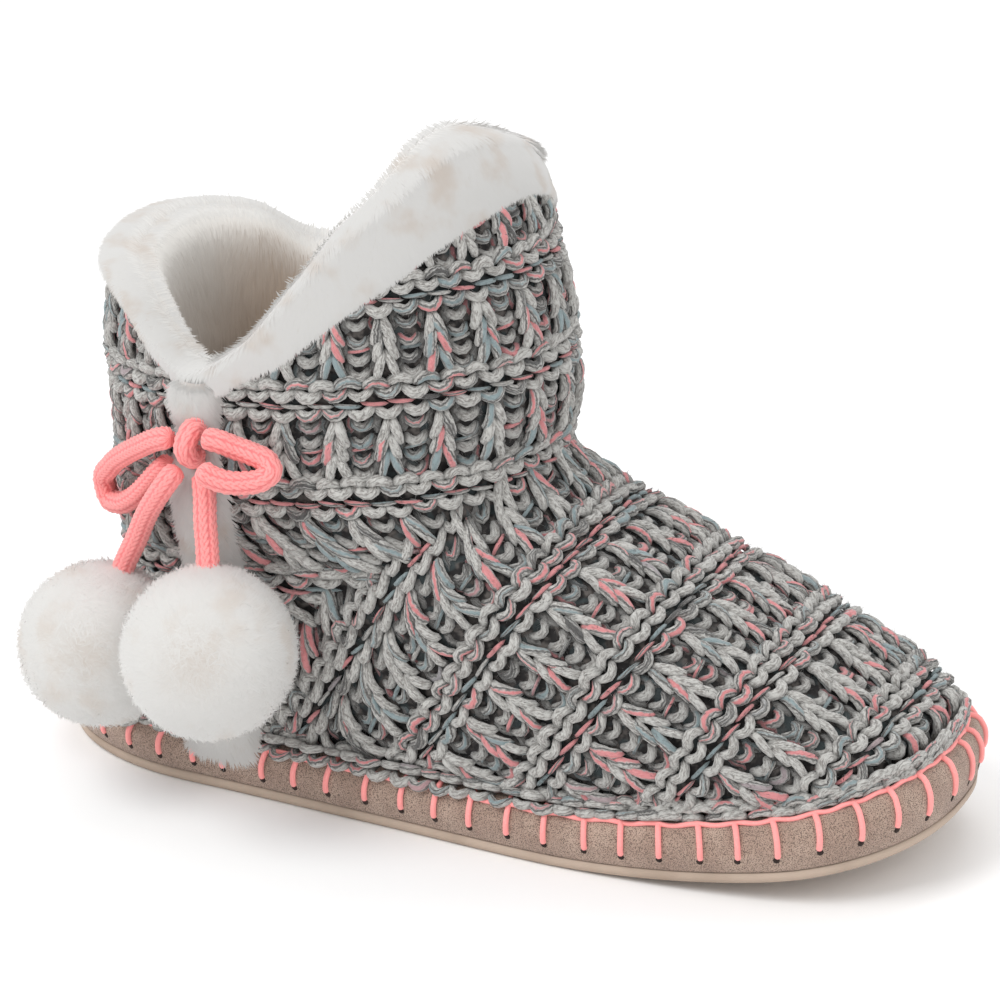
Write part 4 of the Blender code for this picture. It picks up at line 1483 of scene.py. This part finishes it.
@dataclass
class Stitches:
    """The coral blanket stitch that joins the knit to the sole's side."""

    count: int = 57
    thread: float = 0.00078
    low: float = 0.34
    # length along X, where the edge's thread lies as a share of the side
    edge: tuple = ((-0.125, 0.90), (0.000, 0.90), (0.060, 0.93), (0.125, 0.97))
    hole_drop: float = 0.075
    steps: int = 12
    around: int = 8
    # how light the thread is, as the cord's shader reads it
    tone: float = 0.7
    # random shift of a bar along the edge and of its top as a share, and its slant in radians
    loose: tuple[float, float, float] = (4e-4, 0.02, 0.002)
    # how deep a hole goes, its radius, and how far its rim stands out
    hole: tuple[float, float, float] = (0.0006, 0.0009, 0.00012)

    def sew(self, name: str, path: Array, out: Array, radius: float, coral: Any) -> None:
        """Makes one piece of the thread, from lines by points."""
        piece = tubes(path, out, np.full(path.shape[:2], radius), self.around)
        piece.values = {"proud": np.full(len(piece.points), self.tone)}
        piece.make(name, coral, Slot.CORAL)

    def build(self, coral: Any, dark: Any) -> None:
        """Makes the bars, the thread along the edge and the small holes, dark with painted shade, under
        the bars.
        """
        rng = np.random.default_rng(3)
        many = (self.count, 1)
        aside, above, lean = self.loose
        dense, run = SOLE.edge_run()
        at = np.linspace(0, run[-1], self.count, endpoint=False)
        at = at + rng.normal(size=self.count) * aside
        angle = np.interp(at, run, dense)[:, None]
        share = np.linspace(1.0, self.low, self.steps)[None, :] + rng.normal(size=many) * above
        share = np.clip(share, 0.05, 1.0)
        slant = rng.normal(size=many) * lean * np.linspace(0, 1, self.steps)
        out = SOLE.side_out(angle + slant, np.minimum(share, 0.985))
        lift = self.thread * np.sin(np.linspace(0.5, math.pi, self.steps)) ** 0.4
        path = SOLE.side(angle + slant, share) + out * lift[None, :, None] * 0.7
        self.sew("stitch_bars", path, out, self.thread, coral)
        ring = np.linspace(0, 2 * math.pi, 600)
        wobble = 0.0003 * np.sin(ring * self.count)
        level = np.interp(LAST.length / 2 * np.cos(ring), *np.array(self.edge).T)
        out = SOLE.side_out(ring, level)
        path = SOLE.side(ring, level) + out * (self.thread * 0.6) + UP * wobble[:, None]
        self.sew("stitch_edge", path[None], out[None], self.thread * 0.85, coral)
        base = share[:, -1:] - self.hole_drop
        centre = SOLE.side(angle, base)
        out = SOLE.side_out(angle, base)
        depth, wide, rim = self.hole
        hole = np.concatenate([centre - out * depth, centre, centre + out * rim], axis=1)
        radius = np.broadcast_to(np.array([1e-5, wide, 1e-5]), hole.shape[:2])
        holes = tubes(hole, np.broadcast_to(UP, hole.shape), radius, self.around)
        holes.make("stitch_holes", dark, Slot.SUEDE)


@dataclass
class Pompom:
    """A ball of fur, flattened where it lies on the shoe or on the other ball."""

    name: str
    node: str
    centre: Array
    radius: float
    seed: int
    lock: float = 0.0015
    # how far the fur stands out of the placket, and how far the ball stays from what it lies on
    placket_fur: float = 0.0072
    clear: float = 0.0005
    # where the pile parts, and how wide the parting is
    pole: tuple[float, float, float] = (0.30, -0.90, 0.28)
    parting: float = 0.30
    grid: tuple[int, int] = (40, 64)
    hair_count: int = 32000
    # shares of the full radius: the core, the hairs' roots and the hairs' length
    core: float = 0.84
    root: float = 0.82
    reach: float = 0.26
    lift: float = 0.36
    pale: float = 0.3
    # how much the pile leans away from the parting, in whorls and at random, and its least lean
    leans: tuple[float, float, float] = (0.5, 0.55, 0.45)
    least: float = 0.8

    @property
    def full(self) -> float:
        """The radius with its locks."""
        return self.radius + self.lock

    def room(self, ways: Array, other: "Pompom") -> Array:
        """How much of the full radius is free in each direction.

        A direction is followed inwards from the full radius until it is clear of the upper, the
        placket and the sole, and on this side of the flat where the two pompoms meet.
        """
        last = LAST
        shares = np.linspace(1.0, 0.3, 36)[:, None, None]
        trial = self.centre + shares * ways * self.full
        x, z = trial[..., 0], trial[..., 2]
        low_line = last.upper_base + last.side_height
        height = np.maximum(z, low_line)
        turn = -last.angle_at(x, height)
        side = last.wall(turn, height)[..., 1]
        low = z < low_line
        half = last.outline(np.clip((x - last.heel_end) / last.length, 0, 1), turn)[0]
        side = np.where(low, np.minimum(side, half), side)
        fur = np.abs(x - last.heel_end - last.placket_set) < last.placket_width / 2 + 0.0025
        side = side - np.where(fur, self.placket_fur, 0) - self.clear
        behind = x < np.where(low, last.heel_end, last.at("back", height))
        apart = other.centre - self.centre
        distance = np.linalg.norm(apart)
        face = (distance**2 + self.full**2 - other.full**2) / (2 * distance)
        free = (trial[..., 1] < side) | behind
        free &= (trial - self.centre) @ (apart / distance) < face - 0.0003
        return shares[np.argmax(free, axis=0), 0, 0]

    def spread(self, ways: Array) -> tuple[Array, Array]:
        """The pile's lean, away from the parting, and the angle from the parting."""
        pole = unit(np.array(self.pole))
        flow = unit(ways * (ways @ pole)[:, None] - pole)
        return flow, np.arccos(np.clip(ways @ pole, -1, 1))

    def build(self, other: "Pompom", fur: Any) -> list[Any]:
        """The ball's core and its hairs as two pieces."""
        rng = np.random.default_rng(self.seed)
        rows, columns = self.grid
        tilt = np.linspace(0.02, math.pi - 0.02, rows)[:, None]
        turn = np.linspace(0, 2 * math.pi, columns, endpoint=False)[None, :]
        ball = np.stack(np.broadcast_arrays(
            np.sin(tilt) * np.cos(turn), np.sin(tilt) * np.sin(turn), np.cos(tilt)), axis=-1)
        flat = ball.reshape(-1, 3)
        share = self.room(flat, other).reshape(rows, columns, 1)
        parted = self.spread(flat)[1].reshape(rows, columns)
        # painted shade at the parting, where the pile's roots show
        core = grid_piece(self.centre + ball * self.full * share * self.core, wrap=True, reach=1.0,
                          pale=self.pale, deep=0.35 * bell(parted, self.parting))
        core.faces = core.faces[:, ::-1]
        made = core.make(self.name + "_core", fur, Slot.FUR)
        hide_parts(self.node)
        count = self.hair_count
        ways = unit(rng.normal(size=(count, 3)))
        share = self.room(ways, other)
        flow, parted = self.spread(ways)
        swirl = np.sin(ways @ rng.normal(size=(3, 3)) * 6.0 + rng.uniform(0, 6, 3))
        away, whorl, loose = self.leans
        lean = flow * away + swirl * whorl + rng.normal(size=(count, 3)) * loose
        lean = lean - ways * np.sum(lean * ways, axis=1, keepdims=True)
        strength = np.linalg.norm(lean, axis=1, keepdims=True)
        lean = unit(lean) * np.maximum(strength, self.least)
        fleece = Fleece(length=self.full * self.reach, width=0.00044, jitter=0.13)
        # painted shade on the hairs near the parting
        near = bell(parted, self.parting)
        deep = 0.4 * near * rng.uniform(0.4, 1, count)
        roots = self.centre + ways * (self.full * share * self.root)[:, None]
        hairs = fleece.hairs(
            roots, ways, lean, rng, share * (1 - 0.3 * near), deep, self.lift, self.pale)
        return [made, hairs.make(self.name, fur, Slot.FUR, clear=True)]


@dataclass
class Bow:
    """The coral cord tied in a bow: its knot, two loops and two ends, and the pompoms on the ends."""

    cord: float = 0.0062
    wales: int = 6
    pitch: float = 0.0021
    ring_step: float = 0.00038
    around: int = 36
    # how deep the relief is: between the Vs, between the wales and along a wale's middle
    dips: tuple[float, float, float] = (0.75, 0.75, 0.35)
    # how far the legs of a V slant, in pitches, and the relief's share of the radius
    slant: float = 1.15
    relief: float = 0.20
    # the length over which an end closes, in diameters
    closing: float = 0.35
    # the pompoms' radii
    near: float = 0.0225
    far: float = 0.0215
    # points of each route, in millimetres
    knot: tuple = (
        (-60.5, -48.5, 106.6), (-61.0, -52.6, 106.8), (-61.6, -55.4, 103.3),
        (-61.4, -53.4, 99.9), (-60.7, -49.0, 99.4),
    )
    loop_rear: tuple = (
        (-66.1, -54.6, 104.8), (-71.4, -52.4, 102.6), (-77.2, -48.6, 99.0), (-84.6, -43.4, 94.0),
        (-93.2, -36.4, 87.0), (-98.6, -31.2, 79.6), (-97.6, -31.0, 75.4), (-92.0, -34.8, 76.0),
        (-85.8, -38.9, 80.0), (-79.6, -43.2, 85.8), (-74.2, -46.6, 91.4), (-69.4, -49.2, 95.6),
    )
    loop_front: tuple = (
        (-56.9, -55.4, 106.4), (-52.2, -54.9, 105.8), (-48.6, -53.4, 104.2), (-43.9, -52.9, 103.0),
        (-40.0, -53.2, 101.7), (-38.4, -54.6, 99.8), (-40.2, -56.0, 98.0), (-44.2, -57.4, 97.0),
        (-48.0, -59.2, 97.2), (-52.0, -60.6, 98.6), (-55.0, -61.6, 100.8),
    )
    end_rear: tuple = (
        (-63.4, -56.4, 97.6), (-66.4, -56.8, 93.4), (-70.8, -54.8, 87.6), (-75.9, -51.0, 80.6),
        (-80.4, -48.2, 72.6), (-84.4, -46.9, 65.4), (-87.0, -48.6, 57.0), (-89.6, -51.9, 43.9),
    )
    end_front: tuple = (
        (-59.0, -51.8, 95.6), (-57.4, -53.8, 90.6), (-56.6, -55.4, 84.0), (-56.0, -56.0, 79.0),
        (-55.2, -57.2, 74.0), (-54.0, -59.6, 66.0), (-52.5, -63.0, 52.3),
    )

    def knitted(self, path: Array) -> Piece:
        """The cord round a path: wales of small Vs, as a knitted cord has.

        The radius dips between wales, along the middle of a wale, and between the Vs, whose legs
        slant because the dip's place along the cord depends on the distance from the wale's middle.
        """
        side = np.broadcast_to(np.array([0.25, -1.0, 0.15]), path.shape)
        run = run_along(path)
        place = np.linspace(0, self.wales, self.around, endpoint=False)
        from_middle = np.abs(place - np.round(place))
        beat = run[:, None] / self.pitch + self.slant * from_middle[None, :] * 2
        legs, gaps, middles = self.dips
        proud = 1 - legs + legs * (0.5 + 0.5 * np.cos(2 * math.pi * beat))
        proud = proud * (1 - gaps * bell(from_middle - 0.5, 0.13))
        proud = proud * (1 - middles * bell(from_middle, 0.08))
        end = rise(np.minimum(run, run[-1] - run)[:, None], 0, self.cord * self.closing)
        radius = self.cord / 2 * (1 - self.relief + self.relief * proud) * np.sqrt(end * (2 - end))
        ring = rings(path, side, self.around)
        return grid_piece(path[:, None] + ring * radius[..., None], wrap=True, proud=proud)

    def cord_piece(self, name: str, route: Sequence[tuple], node: str, coral: Any) -> tuple[Any, Array]:
        """A length of cord in place of its CAD tube."""
        path = route_points(route, self.ring_step)
        made = self.knitted(path).make(name, coral, Slot.CORAL)
        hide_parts(node)
        return made, path

    def build(self, coral: Any, fur: Any) -> None:
        """Ties the bow and hangs the pompoms on it."""
        wrap, _ = self.cord_piece("bow_wrap", self.knot, "bow_knot", coral)
        for name, route, node, on_it in (
                ("loop_rear", self.loop_rear, "bow_loop_rear", [wrap]),
                ("loop_front", self.loop_front, "bow_loop_front", [])):
            made, path = self.cord_piece(name, route, node, coral)
        centres = [np.array(route[-1]) * MM for route in (self.end_rear, self.end_front)]
        rear = Pompom("fur_ball_rear", "pompom_rear", centres[0], self.far, 21)
        front = Pompom("fur_ball_front", "pompom_front", centres[1], self.near, 22)
        balls = [rear.build(front, fur), front.build(rear, fur)]
        for name, route, node, ball in (
                ("end_rear", self.end_rear, "bow_end_rear", balls[0]),
                ("end_front", self.end_front, "bow_end_front", balls[1])):
            made, path = self.cord_piece(name, route, node, coral)


@dataclass
class Placket:
    """The strip of fur from the notch down over the sole's side."""

    neck: float = 0.0085
    fur: float = 0.0050
    thin: float = 0.0014
    foot: float = 0.0135
    rows: int = 60
    columns: int = 15
    hair_count: int = 14000
    # the height where the bow presses the fur down, and over how much of it
    bow_height: float = 0.103
    bow_reach: float = 0.007
    # how far the hairs droop and fan out, and their length
    droop: float = 0.8
    fan: float = 0.5
    hair_length: float = 0.0060

    def side(self, x: Array, height: Array) -> Array:
        """The shoe's outer side at the length x: the wall, then the sole's side below it."""
        last = LAST
        turn = -last.angle_at(x, height)
        widest = last.outline((x - last.heel_end) / last.length, turn)[0]
        tuck = last.upper_base + last.side_height
        bulge = last.side_base + 0.44 * last.side_height
        hang = rise(tuck - height, 0, tuck - bulge)
        tucked = last.wall(turn, np.maximum(height, tuck))[..., 1]
        return np.where(height < tuck, tucked + (widest - tucked) * hang, tucked)

    def build(self, fur: Any) -> None:
        """The strip's pile and its hairs, which droop."""
        last = LAST
        top = last.collar(np.radians(np.array([-106.0])))[1][0]
        share = np.linspace(0, 1, self.rows)[:, None]
        across = np.linspace(-1, 1, self.columns)[None, :]
        height = top + share * (self.foot - top) + 0 * across
        pressed = bell(height - self.bow_height, self.bow_reach)
        half = last.placket_width / 2 + (self.neck - last.placket_width) / 2 * (1 - share) ** 1.5
        x = last.heel_end + last.placket_set + half * across
        y = self.side(x, height)
        deep = self.fur + (self.thin - self.fur) * pressed
        proud = deep * np.sqrt(np.clip(1.02 - across**2, 0, 1)) * 0.8
        proud = proud * np.clip((1 - share) / 0.05, 0.1, 1) ** 0.5
        grid = np.stack([x, y - proud, height], axis=-1)
        # the strip's pile is a little darker and browner all over
        pile = grid_piece(grid, reach=0.4, deep=0.2)
        made = pile.make("placket_pile", fur, Slot.FUR)
        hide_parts("placket")
        rng = np.random.default_rng(8)
        count = self.hair_count
        row = rng.uniform(0, self.rows - 1.001, count)
        column = rng.uniform(0, self.columns - 1.001, count)
        roots, down, along = on_grid(grid, row, column)
        out = unit(np.cross(down, along))
        sideways = (column / (self.columns - 1) * 2 - 1)[:, None] * along
        lean = down * self.droop + sideways * self.fan
        short = 0.55 + 0.45 * (1 - bell(roots[:, 2] - self.bow_height, 0.008))
        hairs = Fleece(length=self.hair_length).hairs(roots, out, lean, rng, short, 0.05)
        hairs.make("placket_fur", fur, Slot.FUR, clear=True)


def main() -> None:
    """Builds the studio and every piece in order."""
    logging.basicConfig(level=logging.INFO, format="%(name)s %(message)s")
    studio = Studio()
    studio.camera()
    fur = FurFinish().material()
    coral = CordFinish().material()
    pile = PileFinish().material()
    shade = BackingFinish().material()
    Bow().build(coral, fur)
    studio.build()
    SOLE.build(SuedeFinish().material(), TreadFinish().material(), pile)
    Knit().build(YarnFinish().material(), shade, pile)
    Cuff().build(fur)
    Placket().build(fur)
    # the holes' dark finish is painted shade inside them
    hole = BackingFinish(
        "stitch hole", linear(44, 32, 28), linear(60, 46, 40), linear(50, 38, 34))
    Stitches().build(coral, hole.material())


if __name__ == "__main__":
    main()
